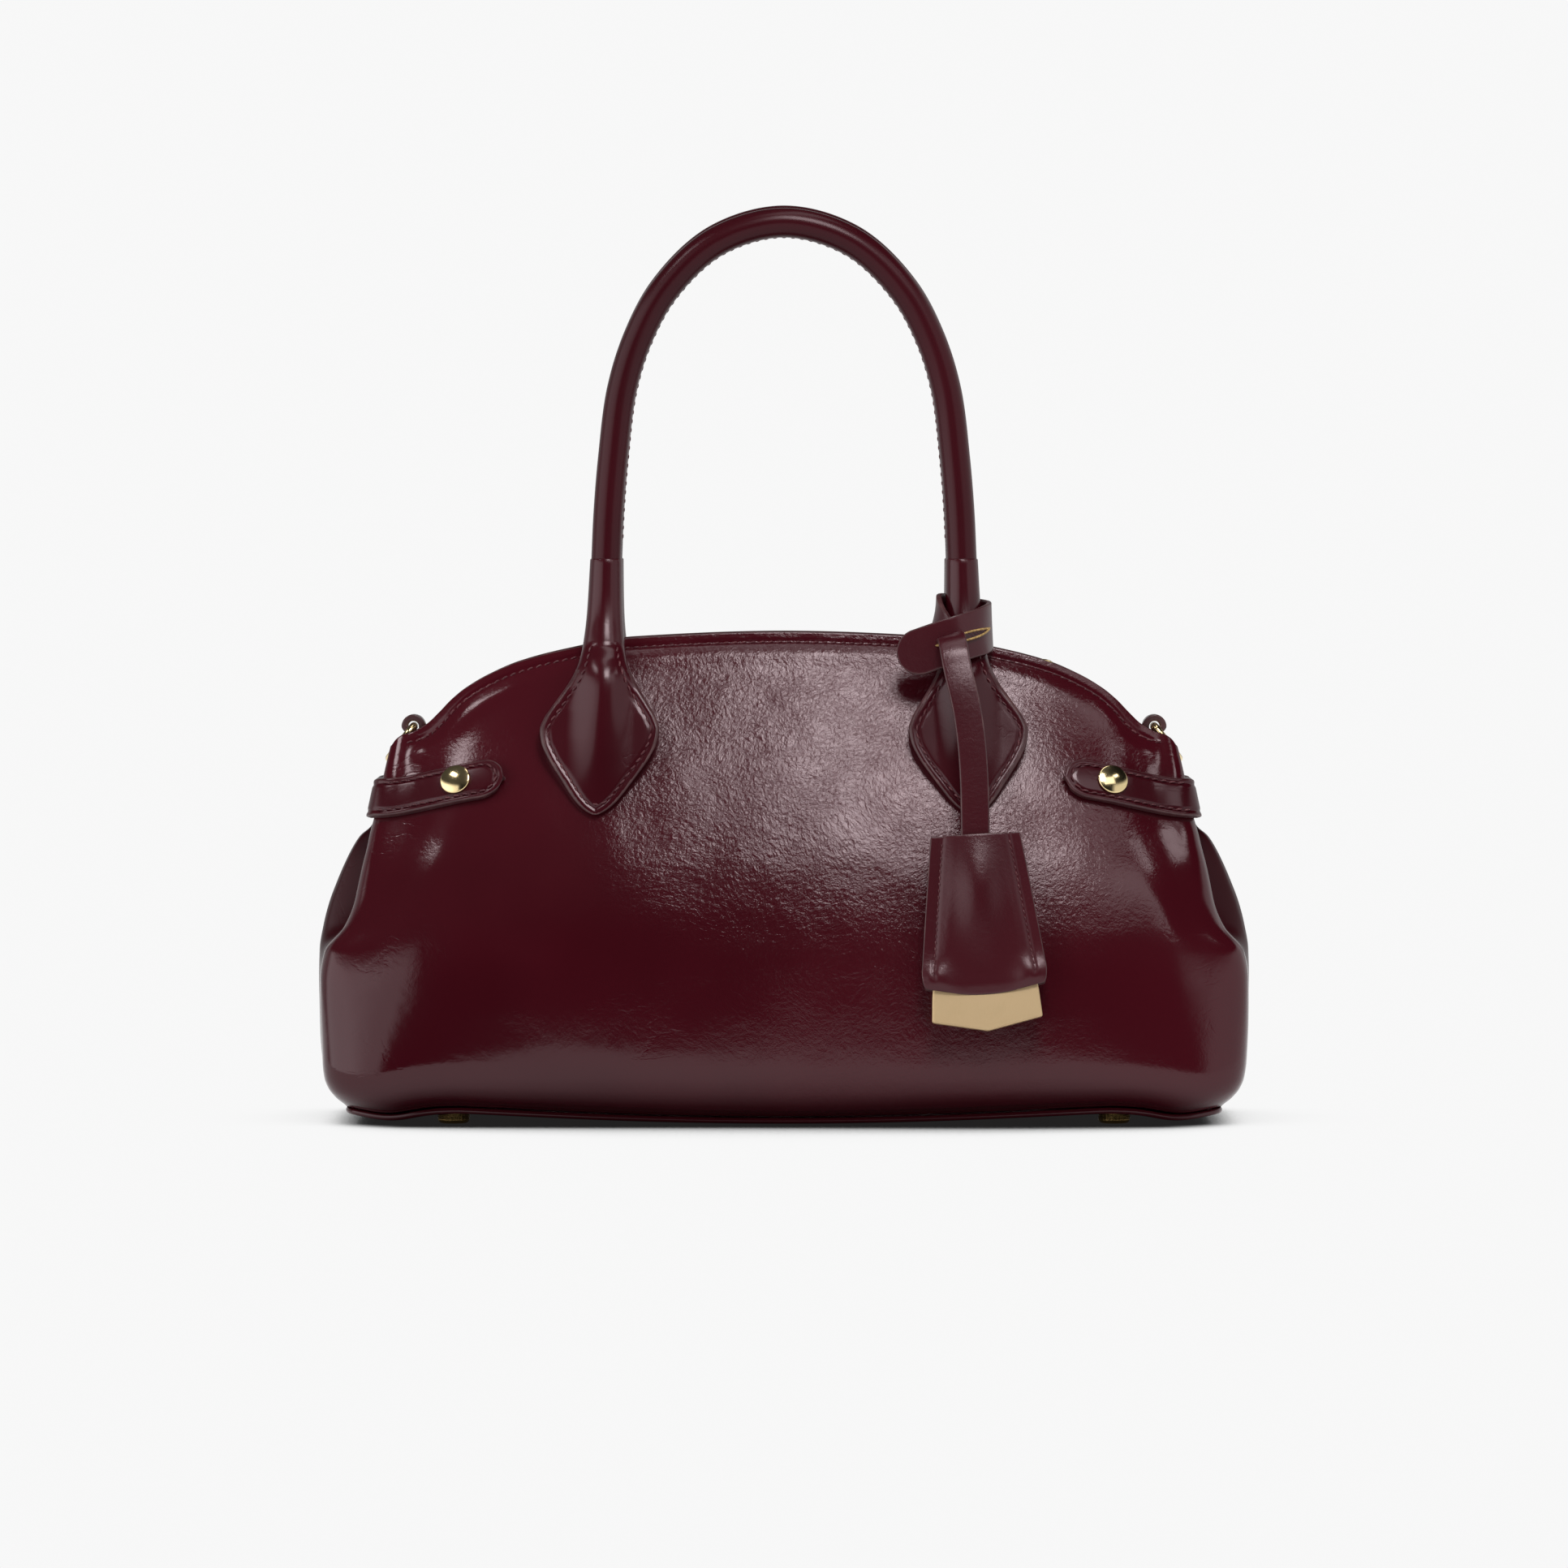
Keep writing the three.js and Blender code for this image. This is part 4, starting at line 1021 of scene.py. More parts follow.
@dataclass
class Shell:
    """The front and back panels, the gussets and the base."""

    shape: BodyShape
    finishes: Finishes
    columns: int = 126
    rows: int = 100
    edge_rows: int = 26
    edge_band: float = 9.0
    stitch_inset: float = 3.4
    stitched_half_width: float = 139.5
    gusset_leather: float = 2.2
    gusset_top: float = 131.5
    gusset_scoop: float = 8.6
    gusset_columns: int = 121
    gusset_rows: int = 110
    pleat_flat: float = 0.45
    tuck_place: float = 0.78
    tuck_width: float = 0.22
    base_leather: float = 2.3
    base_gap: float = -0.25
    welt_overhang: float = 0.2
    scoop_power: float = 2.5
    seeds: dict[Face, int] = field(default_factory=lambda: {Face.FRONT: 11, Face.BACK: 23})
    slack: tuple[tuple[float, float], ...] = ((85.0, 0.14), (34.0, 0.06))
    gusset_slack: Waves = Waves(30, 0.16, 5)
    calm_inset: tuple[float, float] = (4.0, 26.0)
    calm_lift: tuple[float, float] = (2.0, 20.0)
    sewn_fade: float = 134.0
    turned_width: float = 2.9
    turned_slope: float = 0.24
    groove_depth: float = 0.45
    groove_width: float = 0.7
    roll_height: float = 0.6
    roll_inset: float = 8.0
    roll_width: float = 3.4
    under_depth: float = 0.4
    under_width: float = 2.0
    crease_start: tuple[float, float] = (60.0, 92.0)
    crease_end: tuple[float, float] = (96.0, 84.0)
    crease_width: float = 5.0
    crease_depth: float = 0.3
    crease_fade: float = 0.7

    def column_shares(self) -> Array:
        """Spaces a panel's columns evenly round its rounded corners."""
        turn = np.linspace(0, math.pi / 2, 3000)
        power = 2 / self.shape.corner_power
        share = np.sin(turn) ** power
        reach = self.shape.front_half_depth - self.shape.seam_half_depth
        step = np.hypot(np.diff(share * self.shape.base_half_width), np.diff(np.cos(turn) ** power * reach))
        length = np.concatenate(([0.0], np.cumsum(step)))
        lip = self.shape.leather / 2 * LIP_BULGE
        half = np.interp(np.linspace(0, length[-1] - lip, self.columns), length, share)
        return np.concatenate((-half[:0:-1], half))

    def crease(self, x: Array, z: Array) -> Array:
        """Gives the soft valley that the slack leather of each panel has.

        Args:
            x: Places across the panel.
            z: Their heights.

        Returns:
            How deep the leather lies at each place.
        """
        x0, z0 = self.crease_start
        run = np.array(self.crease_end) - np.array(self.crease_start)
        along = np.clip(((x - x0) * run[0] + (z - z0) * run[1]) / (run @ run), 0, 1)
        away = np.hypot(x - x0 - along * run[0], z - z0 - along * run[1])
        return self.crease_depth * hump(away, self.crease_width) * (1 - along * self.crease_fade)

    def panel_relief(self, face: Face, x: Array, z: Array, inset: Array, lift: Array) -> Array:
        """Gives how far the leather stands out of the panel's plain form.

        Args:
            face: The front or the back panel.
            x: Places across the bag.
            z: Their heights.
            inset: Their distances from the mouth edge.
            lift: Their heights above the lower edge.

        Returns:
            The distance at each place.
        """
        seed = self.seeds[face]
        calm = smoothstep(inset, *self.calm_inset) * smoothstep(lift, *self.calm_lift)
        slack = sum(Waves(size, height, seed + i)(x, z) for i, (size, height) in enumerate(self.slack))
        sewn = 1 - smoothstep(np.abs(x), self.sewn_fade, self.stitched_half_width)
        turned = self.turned_slope * np.maximum(0, self.turned_width - inset)
        groove = self.groove_depth * hump(inset - self.stitch_inset, self.groove_width)
        roll = self.roll_height * hump(inset - self.roll_inset, self.roll_width)
        under = self.under_depth * hump(lift, self.under_width)
        return (slack - self.crease(x, z)) * calm + (turned - groove + roll) * sewn - under

    def panel_grid(self, face: Face) -> tuple[Array, Array]:
        """Lays out a panel's outer face.

        Args:
            face: The front or the back panel.

        Returns:
            The points, and each row's distance from the mouth edge.
        """
        share = self.column_shares()[None]
        low, high = self.shape.panel_ends(share)
        edge_x = np.abs(share) * self.shape.ear_half_width
        slope = self.shape.mouth_edge(edge_x + 0.5) - self.shape.mouth_edge(edge_x - 0.5)
        steep = np.sqrt(1 + slope**2)
        lip = self.shape.leather / 2 * LIP_BULGE
        low = low + lip
        near = np.linspace(self.edge_band, lip, self.edge_rows)[:, None]
        far = np.linspace(0, 1, self.rows, endpoint=False)[:, None] ** 1.25
        z = np.concatenate((low + (high - self.edge_band * steep - low) * far, high - near * steep))
        inset = (high - z) / steep
        grid = np.stack([self.shape.panel_x(share, z), -self.shape.panel_depth(share, z), z], -1)
        if face is Face.BACK:
            grid = grid[:, ::-1] * np.array((1, -1, 1))
        relief = self.panel_relief(face, grid[..., 0], grid[..., 2], inset, z - low)
        return grid + grid_normals(grid) * relief[..., None], near[:, 0]

    def build_panel(self, face: Face) -> None:
        """Makes a panel and the stitches along its mouth edge."""
        name = face.name.lower()
        grid, near = self.panel_grid(face)
        make_piece(f"{name}_panel_leather", slab(grid, self.shape.leather),
                   (self.finishes.hide, self.finishes.edge), (f"{name}_panel",))
        row = self.rows + int(np.abs(near - self.stitch_inset).argmin())
        sewn = np.abs(grid[row, :, 0]) < self.stitched_half_width
        path, outward = grid[row, sewn], grid_normals(grid)[row, sewn]
        stitches = Stitching().row(path, outward)
        make_piece(f"{name}_mouth_stitches", stitches, (self.finishes.thread,))

    def gusset_grid(self) -> Array:
        """Lays out the right gusset's outer face, with its box pleat."""
        shape = self.shape
        share = np.linspace(-1, 1, self.gusset_columns)[None]
        low = float(shape.lower_edge(shape.base_half_width))
        high = self.gusset_top + self.gusset_scoop * np.abs(share) ** self.scoop_power
        z = low + (high - low) * np.linspace(0, 1, self.gusset_rows)[:, None]
        size = np.abs(share)
        flat = 1 - smoothstep(size, self.pleat_flat, 1)
        reach = np.minimum(1, np.abs(size - self.tuck_place) / self.tuck_width)
        fold = np.cos(math.pi / 2 * reach) ** 2
        x = shape.seam_x(z) + (shape.middle_x(z) - shape.seam_x(z)) * flat - shape.tuck(z) * fold
        lip = self.gusset_leather / 2 * LIP_BULGE
        y = share * (shape.gusset_half(z) - lip)
        x = x + self.gusset_slack(y, z) * smoothstep(1 - size, 0, 0.2)
        return np.stack([x, y, z], -1)

    def build_gussets(self) -> None:
        """Makes both gussets."""
        right = slab(self.gusset_grid(), self.gusset_leather)
        for side in Side:
            name = side.name.lower()
            # The gussets take the darker gusset finish, whose deeper colour is painted shade.
            make_piece(f"gusset_{name}_leather", right.mirrored((side.value, 1, 1)),
                       (self.finishes.gusset, self.finishes.edge), (f"gusset_{name}",))

    def base_outline(self) -> tuple[Array, Array]:
        """Walks round the lower edge of the walls, seen from above.

        Returns:
            The outline, and the share of the half width at each of its points.
        """
        shape = self.shape
        share = self.column_shares()
        z = shape.lower_edge(share * shape.base_half_width)
        front = np.stack([shape.panel_x(share, z), -shape.panel_depth(share, z)], 1)
        across = np.linspace(-1, 1, 40)[1:-1]
        end_x, end_y = front[-1, 0], -front[-1, 1]
        right = np.stack([end_x + 0.2 * (1 - across**2), across * end_y], 1)
        back, left = front[::-1] * np.array((1, -1)), right[::-1] * np.array((-1, 1))
        ends = np.ones(len(right))
        return np.concatenate((front, right, back, left)), np.concatenate((share, ends, share[::-1], -ends))

    def build_base(self) -> None:
        """Makes the base with its rounded welt edge."""
        shape = self.shape
        outline, place = self.base_outline()
        reach = np.linalg.norm(outline, axis=1, keepdims=True)
        half = self.base_leather / 2
        turn = np.linspace(math.pi / 2, -math.pi / 2, 9)
        inward = np.linspace(0.03, 0.97, 14)
        rings = [(share, 0.0, half) for share in inward]
        rings += [(1.0, (self.welt_overhang + half) * math.cos(a) - half, half * math.sin(a)) for a in turn]
        rings += [(share, 0.0, -half) for share in inward[::-1]]
        loops = []
        for share, out, up in rings:
            flat = outline * (share + out / reach)
            z = shape.lower_edge(place * share * shape.base_half_width) - self.base_gap - half + up
            loops.append(np.column_stack((flat, z)))
        base = tube(np.array(loops))
        make_piece("base_leather", base, (self.finishes.hide,), ("base_panel",))

    def build(self) -> None:
        """Makes the whole shell."""
        for face in Face:
            self.build_panel(face)
        self.build_gussets()
        self.build_base()


# The zip


@dataclass
class ZipClosure:
    """The zip between the mouth edges: two tapes, two rows of teeth and the slider."""

    shape: BodyShape
    finishes: Finishes
    below_edge: float = 5.5
    half_length: float = 138.5
    tape: float = 0.9
    tape_from: float = 1.3
    tape_to: float = 13.0
    tooth: tuple[float, float, float] = (1.25, 3.4, 2.1)
    tooth_pitch: float = 2.5
    slider_x: float = 96.0
    slider: tuple[float, float, float] = (10.0, 8.6, 3.4)
    pull_length: float = 26.0
    pull_half_width: float = 3.25
    pull_thickness: float = 1.5
    pull_waist: float = 0.28
    slider_taper: float = 0.22
    tape_climb: float = 2.2
    tooth_shift: float = 0.9

    def level(self, x: Array | float) -> Array:
        """Gives the height of the zip across the bag."""
        return self.shape.mouth_edge(np.abs(x)) - self.below_edge

    def tape_grid(self) -> Array:
        """Lays out the front tape, which climbs a little to the panel."""
        x = np.linspace(-self.half_length, self.half_length, 221)[:, None]
        y = np.linspace(self.tape_from, self.tape_to, 15)[None]
        climb = self.tape_climb * smoothstep(y, self.tape_from + 5, self.tape_to)
        return np.stack(np.broadcast_arrays(x, -y, self.level(x) + climb), -1)

    def teeth(self) -> MeshParts:
        """Sets both rows of teeth, each in the other's gaps."""
        x = np.linspace(-self.half_length + 2, self.half_length - 2, 1200)
        line = np.column_stack((x, np.zeros_like(x), self.level(x)))
        places = even_path(line, int(walked(line)[-1] / (self.tooth_pitch / 2)))
        along = unit(np.gradient(places, axis=0))
        block = rounded_block(self.tooth, 5, 12, 7)
        parts = MeshParts()
        for i, (place, run) in enumerate(zip(places, along)):
            shift = BACKWARD * (self.tooth_shift if i % 2 else -self.tooth_shift)
            parts.join(block.placed(place + shift, np.stack((run, BACKWARD, np.cross(run, BACKWARD)))))
        return parts

    def slider_parts(self) -> MeshParts:
        """Makes the slider about its own middle, with its bridge and the pull that lies towards -X."""
        body = rounded_block(self.slider, 5, 32, 13)
        narrowed = body.points[0]
        narrowed[:, 1] *= 1 - self.slider_taper * (narrowed[:, 0] / self.slider[0] + 0.5)
        bridge = smooth_path(((-3.4, 0, 1.2), (-2.6, 0, 3.2), (0, 0, 4.0), (2.6, 0, 3.2), (3.4, 0, 1.2)), 24)
        parts = body.join(sweep(bridge, BACKWARD, 0.8, 12))
        along = np.linspace(0, 1, 40)[:, None]
        across = np.linspace(-1, 1, 11)[None]
        down = self.pull_length * along
        from_end = np.minimum(down, self.pull_length - down)
        round_end = np.sqrt(1 - (1 - np.clip(from_end / self.pull_half_width, 0.04, 1)) ** 2)
        half = self.pull_half_width * round_end * (1 - self.pull_waist * hump(down - 8, 6))
        level = 3.2 - 1.2 * smoothstep(down, 0, 9)
        grid = np.stack(np.broadcast_arrays(-down + 1.0, across * half, level), -1)
        return parts.join(slab(grid[:, ::-1], self.pull_thickness, 7), 0)

    def build(self) -> None:
        """Makes the tapes, the teeth and the slider."""
        half = slab(self.tape_grid(), self.tape)
        tapes = MeshParts().join(half, 0).join(half.mirrored((1, -1, 1)), 0)
        make_piece("zip_tapes", tapes, (self.finishes.zip_cloth,), ("zip_tape",))
        make_piece("zip_teeth", self.teeth(), (self.finishes.gold,))
        back = self.slider_x - self.pull_length
        slope = math.atan((self.level(back) - self.level(self.slider_x)) / self.pull_length)
        run = np.array((math.cos(slope), 0.0, -math.sin(slope)))
        origin = np.array((self.slider_x, 0.0, float(self.level(self.slider_x)) + 1.0))
        slider = self.slider_parts().placed(origin, np.stack((run, BACKWARD, np.cross(run, BACKWARD))))
        make_piece("zip_slider_metal", slider, (self.finishes.gold,), ("zip_slider",))


# Handles


@dataclass
class Handles:
    """The two rolled handles and their four sewn ends."""

    shape: BodyShape
    finishes: Finishes
    radius: float = 5.6
    sleeve_radius: float = 6.2
    sleeve_top: float = 209.0
    start: float = 207.5
    back_rise: float = 1.2
    steps: int = 220
    sides: int = 36
    groove: float = 0.5
    groove_width: float = 0.9
    arch: tuple[tuple[float, float], ...] = (
        (65.4, 207.5), (64.6, 226), (63.0, 246), (59.6, 272), (54.0, 290), (44.2, 308), (25.0, 326), (0, 333))
    lean: SmoothCurve = SmoothCurve((
        (170, 29.0), (178, 23.4), (186, 20.0), (196, 17.0), (209, 14.6), (245, 9.8), (290, 7.2), (334, 6.4)))
    patch_leather: float = 2.2
    patch_gap: float = 0.2
    edge_round: float = 1.4
    core_half_width: float = 12.5
    stitch_inset: float = 3.0
    stitch_top: float = 178.0
    end_middle: SmoothCurve = SmoothCurve(((116.6, 69.0), (132, 68.1), (148, 67.5), (166, 66.5), (209, 65.4)))
    end_half: SmoothCurve = SmoothCurve((
        (116.2, 1.2), (117.4, 3.6), (120.6, 7.3), (128, 12.8), (137.4, 19.0), (142.4, 21.2), (147, 21.9),
        (151, 20.6), (156.6, 17.1), (163.8, 12.4), (168, 10.3), (172, 8.9), (178, 7.7), (190, 6.6),
        (209, 5.95)))
    end_ridge: SmoothCurve = SmoothCurve((
        (116.6, 0), (120, 0.1), (132, 1.2), (141, 2.4), (148, 3.3), (154, 4.0), (160, 4.8), (166, 5.8),
        (172, 7.0), (178, 8.2), (209, 9.8)))
    end_low: float = 116.2
    sleeve_low: float = 180.0
    sleeve_rows: int = 20
    end_lift: float = 0.165
    end_lift_from: float = 117.0
    end_rise: tuple[float, float] = (164.0, 188.0)
    end_groove: float = 0.4
    end_groove_width: float = 0.65
    painted_roll: float = 0.35
    end_roll: SmoothCurve = SmoothCurve(((154, 0), (160, 0.05), (166, 0.2), (172, 0.6), (178, 1), (209, 1)))
    sleeve_lip: tuple[tuple[float, float], ...] = ((0.97, 0.3), (0.9, 0.42))
    end_rows: int = 150
    end_sides: int = 112

    def handle(self, rise: float) -> MeshParts:
        """Rolls a handle, with a sewn groove along the inside of its arch.

        Args:
            rise: How much higher than the front one its arch is.

        Returns:
            The handle, front or back, with its stitches as finish 1.
        """
        half = np.array([(x, -float(self.lean(z)), z) for x, z in self.arch])
        half[:, 2] += rise * smoothstep(half[:, 2], self.start, self.arch[-1][1])
        knots = np.concatenate((half, half[-2::-1] * np.array((-1, 1, 1))))
        path = smooth_path([tuple(p) for p in knots], self.steps)
        along = unit(np.gradient(path, axis=0))
        out = unit(np.cross(BACKWARD, along))
        back = unit(np.cross(out, along))
        from_seam = np.abs(full_turn(self.sides) - math.pi) * self.radius
        size = self.radius - self.groove * hump(from_seam, self.groove_width)
        parts = tube(path[:, None] + circles(out, back, self.sides) * size[None, :, None])
        seam = path - out * (self.radius - self.groove)
        return parts.join(Stitching(radius=0.32).row(seam[6:-6], -out[6:-6]), 1)

    def end_points(self, z: Array, turn: Array) -> Array:
        """Lays out a handle end, a patch that rolls up into a sleeve.

        Args:
            z: Heights, as a column.
            turn: Angles round the end, as a row; the front is from 0 to half a turn.

        Returns:
            The points for each height and angle, on the right end of the front handle.
        """
        middle, half = self.end_middle(z), self.end_half(z)
        across = half * np.cos(turn)
        panel = self.shape.panel_depth_at(middle + across, z) + self.patch_gap
        resting = self.shape.panel_depth_at(middle, z) + self.shape.gap + self.sleeve_radius
        core = resting + (self.lean(z) - resting) * smoothstep(z, *self.end_rise)
        edge = np.minimum(self.edge_round, half)
        rounding = np.sqrt(1 - np.clip((np.abs(across) - (half - edge)) / edge, 0, 1) ** 2)
        ridge = self.end_ridge(z) * np.maximum(0, 1 - (across / self.core_half_width) ** 2) ** 2
        ridge = ridge + self.end_lift * np.maximum(0, z - self.end_lift_from)
        steep = np.sqrt(1 + (self.end_half(z + 0.5) - self.end_half(z - 0.5)) ** 2)
        from_seam = (half - np.abs(across)) / steep - self.stitch_inset
        groove = self.end_groove * hump(from_seam, self.end_groove_width)
        face = np.sign(np.sin(turn) + 1e-9)
        flat = panel + self.patch_leather / 2 * (1 + face * rounding) + np.where(face > 0, ridge - groove, 0)
        rolled = core + np.minimum(half, self.sleeve_radius) * np.sin(turn)
        roll = self.end_roll(z)
        return np.stack(np.broadcast_arrays(middle + across, -(flat + (rolled - flat) * roll), z), -1)

    def end_parts(self) -> tuple[MeshParts, MeshParts]:
        """Makes the right end of the front handle.

        Returns:
            The leather, with its painted edge as finish 1, and its stitches.
        """
        patch = np.linspace(self.end_low, self.sleeve_low, self.end_rows)
        sleeve = np.linspace(self.sleeve_low, self.sleeve_top, self.sleeve_rows)[1:]
        z = np.concatenate((patch, sleeve))[:, None]
        turn = full_turn(self.end_sides)[None]
        loops = self.end_points(z, turn)
        middle = loops[-1].mean(axis=0)
        lips = [middle + (loops[-1] - middle) * share + np.array((0, 0, up)) for share, up in self.sleeve_lip]
        parts = tube(np.concatenate((loops, np.array(lips))))
        half = self.end_half(z)
        outer = np.abs(half * np.cos(turn)) > half - self.edge_round * 0.95
        painted = outer & (self.end_roll(z) < self.painted_roll)
        marks = np.concatenate((painted, np.zeros((1, self.end_sides), bool)))
        parts.finishes[:marks.size] = marks.astype(int).reshape(-1).tolist()
        return parts, self.end_stitches()

    def end_stitches(self) -> MeshParts:
        """Sews round a handle end, a little inside its edge."""
        z = np.linspace(117.5, self.stitch_top, 400)
        half = self.end_half(z)
        slope = np.gradient(half, z)
        steep = np.sqrt(1 + slope**2)
        across = half - self.stitch_inset / steep
        up = z + self.stitch_inset * slope / steep
        keep = (across > 0.3) & (up < self.stitch_top)
        across, up = across[keep], up[keep]
        order = np.argsort(up)
        across = np.concatenate((across[order][::-1], -across[order]))
        up = np.concatenate((up[order][::-1], up[order]))
        share = np.clip(across / self.end_half(up), -1, 1)

        def on_face(height: Array, place: Array) -> Array:
            """Gives points on the end's front face."""
            return self.end_points(height[:, None], np.arccos(place)[:, None])[:, 0]

        surface = on_face(up, share)
        above = on_face(up + 0.4, np.clip(share, -0.99, 0.99))
        beside = on_face(up, np.clip(share * 0.96, -0.99, 0.99))
        out = unit(np.cross(beside - surface, above - surface))
        out = np.where(out[:, 1:2] > 0, -out, out)
        return Stitching().row(surface, out)

    def build(self) -> None:
        """Makes the handles and their ends."""
        trim, edge, thread = self.finishes.trim, self.finishes.edge, self.finishes.thread
        rolled = self.finishes.rolled
        make_piece("handle_front_leather", self.handle(0), (rolled, thread), ("handle_front",))
        turned = self.handle(self.back_rise).mirrored((-1, -1, 1))
        make_piece("handle_back_leather", turned, (rolled, thread), ("handle_back",))
        leather, stitches = self.end_parts()
        for face in Face:
            for side in Side:
                name = f"handle_end_{face.name.lower()}_{side.name.lower()}"
                flip = (side.value, -face.value, 1)
                make_piece(f"{name}_leather", leather.mirrored(flip), (trim, edge), (name,))
                make_piece(f"{name}_stitches", stitches.mirrored(flip), (thread,))


# Side straps


@dataclass
class SideStraps:
    """The straps that hold the gussets in, with their studs."""

    shape: BodyShape
    finishes: Finishes
    half_width: float = 7.0
    leather: float = 2.8
    clear: float = 0.35
    tip_x: float = 102.4
    tip_length: float = 8.6
    tip_z: float = 128.4
    side_z: float = 120.8
    stitch_inset: float = 2.1
    stitched_share: float = 0.985
    crown: float = 0.25
    groove: float = 0.3
    groove_width: float = 0.6
    stitch_lift: float = 0.1
    stud_x: float = 119.3
    stud_z: float = 127.0
    stud_profile: tuple[tuple[float, float], ...] = (
        (0.3, 0.0), (5.3, 0.0), (5.58, 0.15), (5.66, 0.45), (5.58, 0.75), (5.3, 0.95), (5.1, 1.0), (4.8, 1.1),
        (4.3, 1.24), (3.6, 1.4), (2.7, 1.56), (1.7, 1.68), (0.8, 1.74), (0.2, 1.75))

    @property
    def reach(self) -> float:
        """The bag's half width at the strap's tips."""
        return float(self.shape.seam_x(self.tip_z))

    @property
    def tip(self) -> float:
        """Where the strap's tips are, as a share of that half width."""
        return self.tip_x / self.reach

    def stations(self) -> tuple[Array, Array]:
        """Walks the strap from its front tip round the side to its back tip.

        Returns:
            The share of the half width, and the place across the side, at each step.
        """
        turn = np.linspace(0, 1, 76) ** 1.4
        power = 2 / self.shape.corner_power
        start = math.asin(self.tip ** (1 / power))
        front = np.sin(start + (math.pi / 2 - start) * turn) ** power
        across = np.linspace(-1, 1, 42)[1:-1]
        share = np.concatenate((front, np.ones_like(across), front[::-1]))
        place = np.concatenate((-np.ones_like(front), across, np.ones_like(front)))
        return share, place

    def surface(self, share: Array, across: Array, offset: Array) -> Array:
        """Gives points on the bag under the strap.

        Args:
            share: The share of the half width.
            across: The place across the side, -1 on the front panel and 1 on the back one.
            offset: The distance above the strap's middle line.

        Returns:
            The points on the right side of the bag.
        """
        z = self.tip_z + (self.side_z - self.tip_z) * smoothstep(share, self.tip, 1) + offset
        x, y = self.shape.panel_x(share, z), across * self.shape.panel_depth(share, z)
        return np.stack(np.broadcast_arrays(x, y, z), -1)

    def strap(self) -> MeshParts:
        """Makes the right strap, with its painted edge as finish 1."""
        share, place = self.stations()
        from_tip = (share - self.tip) * self.reach
        trim = np.clip(from_tip / self.tip_length, 0.006, 1)
        lip = self.leather / 2 * LIP_BULGE
        half = ((self.half_width - lip) * np.sqrt(1 - (1 - trim) ** 2))[:, None]
        level = np.linspace(-1, 1, 41)[None]
        under = self.surface(share[:, None], place[:, None], level * half)
        ahead = np.maximum(0, 1 - from_tip / self.tip_length)[:, None] * self.half_width
        from_seam = self.half_width - np.hypot(ahead, level * half) - self.stitch_inset
        crown = self.crown * (1 - level**2) - self.groove * hump(from_seam, self.groove_width)
        face = under - grid_normals(under) * (self.clear + self.leather + crown[..., None])
        return slab(face[:, ::-1], self.leather, 7)

    def stitches(self) -> MeshParts:
        """Sews round both ends of the right strap."""
        share, place = self.stations()
        straight = (share - self.tip) * self.reach > self.tip_length
        share = share[straight & (place < 0) & (share < self.stitched_share)]
        inset = self.half_width - self.stitch_inset
        bend = np.linspace(math.pi / 2, -math.pi / 2, 30)
        tip = self.tip + self.tip_length * (1 - inset / self.half_width * np.cos(bend)) / self.reach
        along = np.concatenate((share[::-1], tip, share))
        level = inset * np.concatenate((np.ones_like(share), np.sin(bend), -np.ones_like(share)))
        front = np.full(len(along), -1.0)
        line = self.surface(along, front, level)
        above = self.surface(along, front, level + 0.5)
        ahead = self.surface(along + 0.002, front, level)
        outward = unit(np.cross(ahead - line, above - line))
        row = Stitching().row(line + outward * (self.clear + self.leather + self.stitch_lift), outward)
        return MeshParts().join(row).join(row.mirrored((1, -1, 1)))

    def build(self) -> None:
        """Makes both straps and all four studs."""
        leather, stitches = self.strap(), self.stitches()
        stud = lathe(np.array(self.stud_profile), 56)
        out = self.shape.panel_facing(self.stud_x, self.stud_z)
        depth = float(self.shape.panel_depth_at(self.stud_x, self.stud_z))
        place = np.array((self.stud_x, -depth, self.stud_z)) + out * (self.leather + 2 * self.shape.gap - 0.1)
        right = unit(np.cross(out, np.array((0.0, 0.0, 1.0))))
        stud = stud.placed(place, np.stack((right, np.cross(out, right), out)))
        for side in Side:
            name = side.name.lower()
            flip = (side.value, 1, 1)
            make_piece(f"side_strap_{name}_leather", leather.mirrored(flip),
                       (self.finishes.trim, self.finishes.edge), (f"side_strap_{name}",))
            make_piece(f"side_strap_{name}_stitches", stitches.mirrored(flip), (self.finishes.thread,))
            for face in Face:
                node = f"stud_{face.name.lower()}_{name}"
                turned = stud.mirrored((side.value, -face.value, 1))
                make_piece(f"{node}_metal", turned, (self.finishes.gold,), (node,))


# Ring tabs and rings


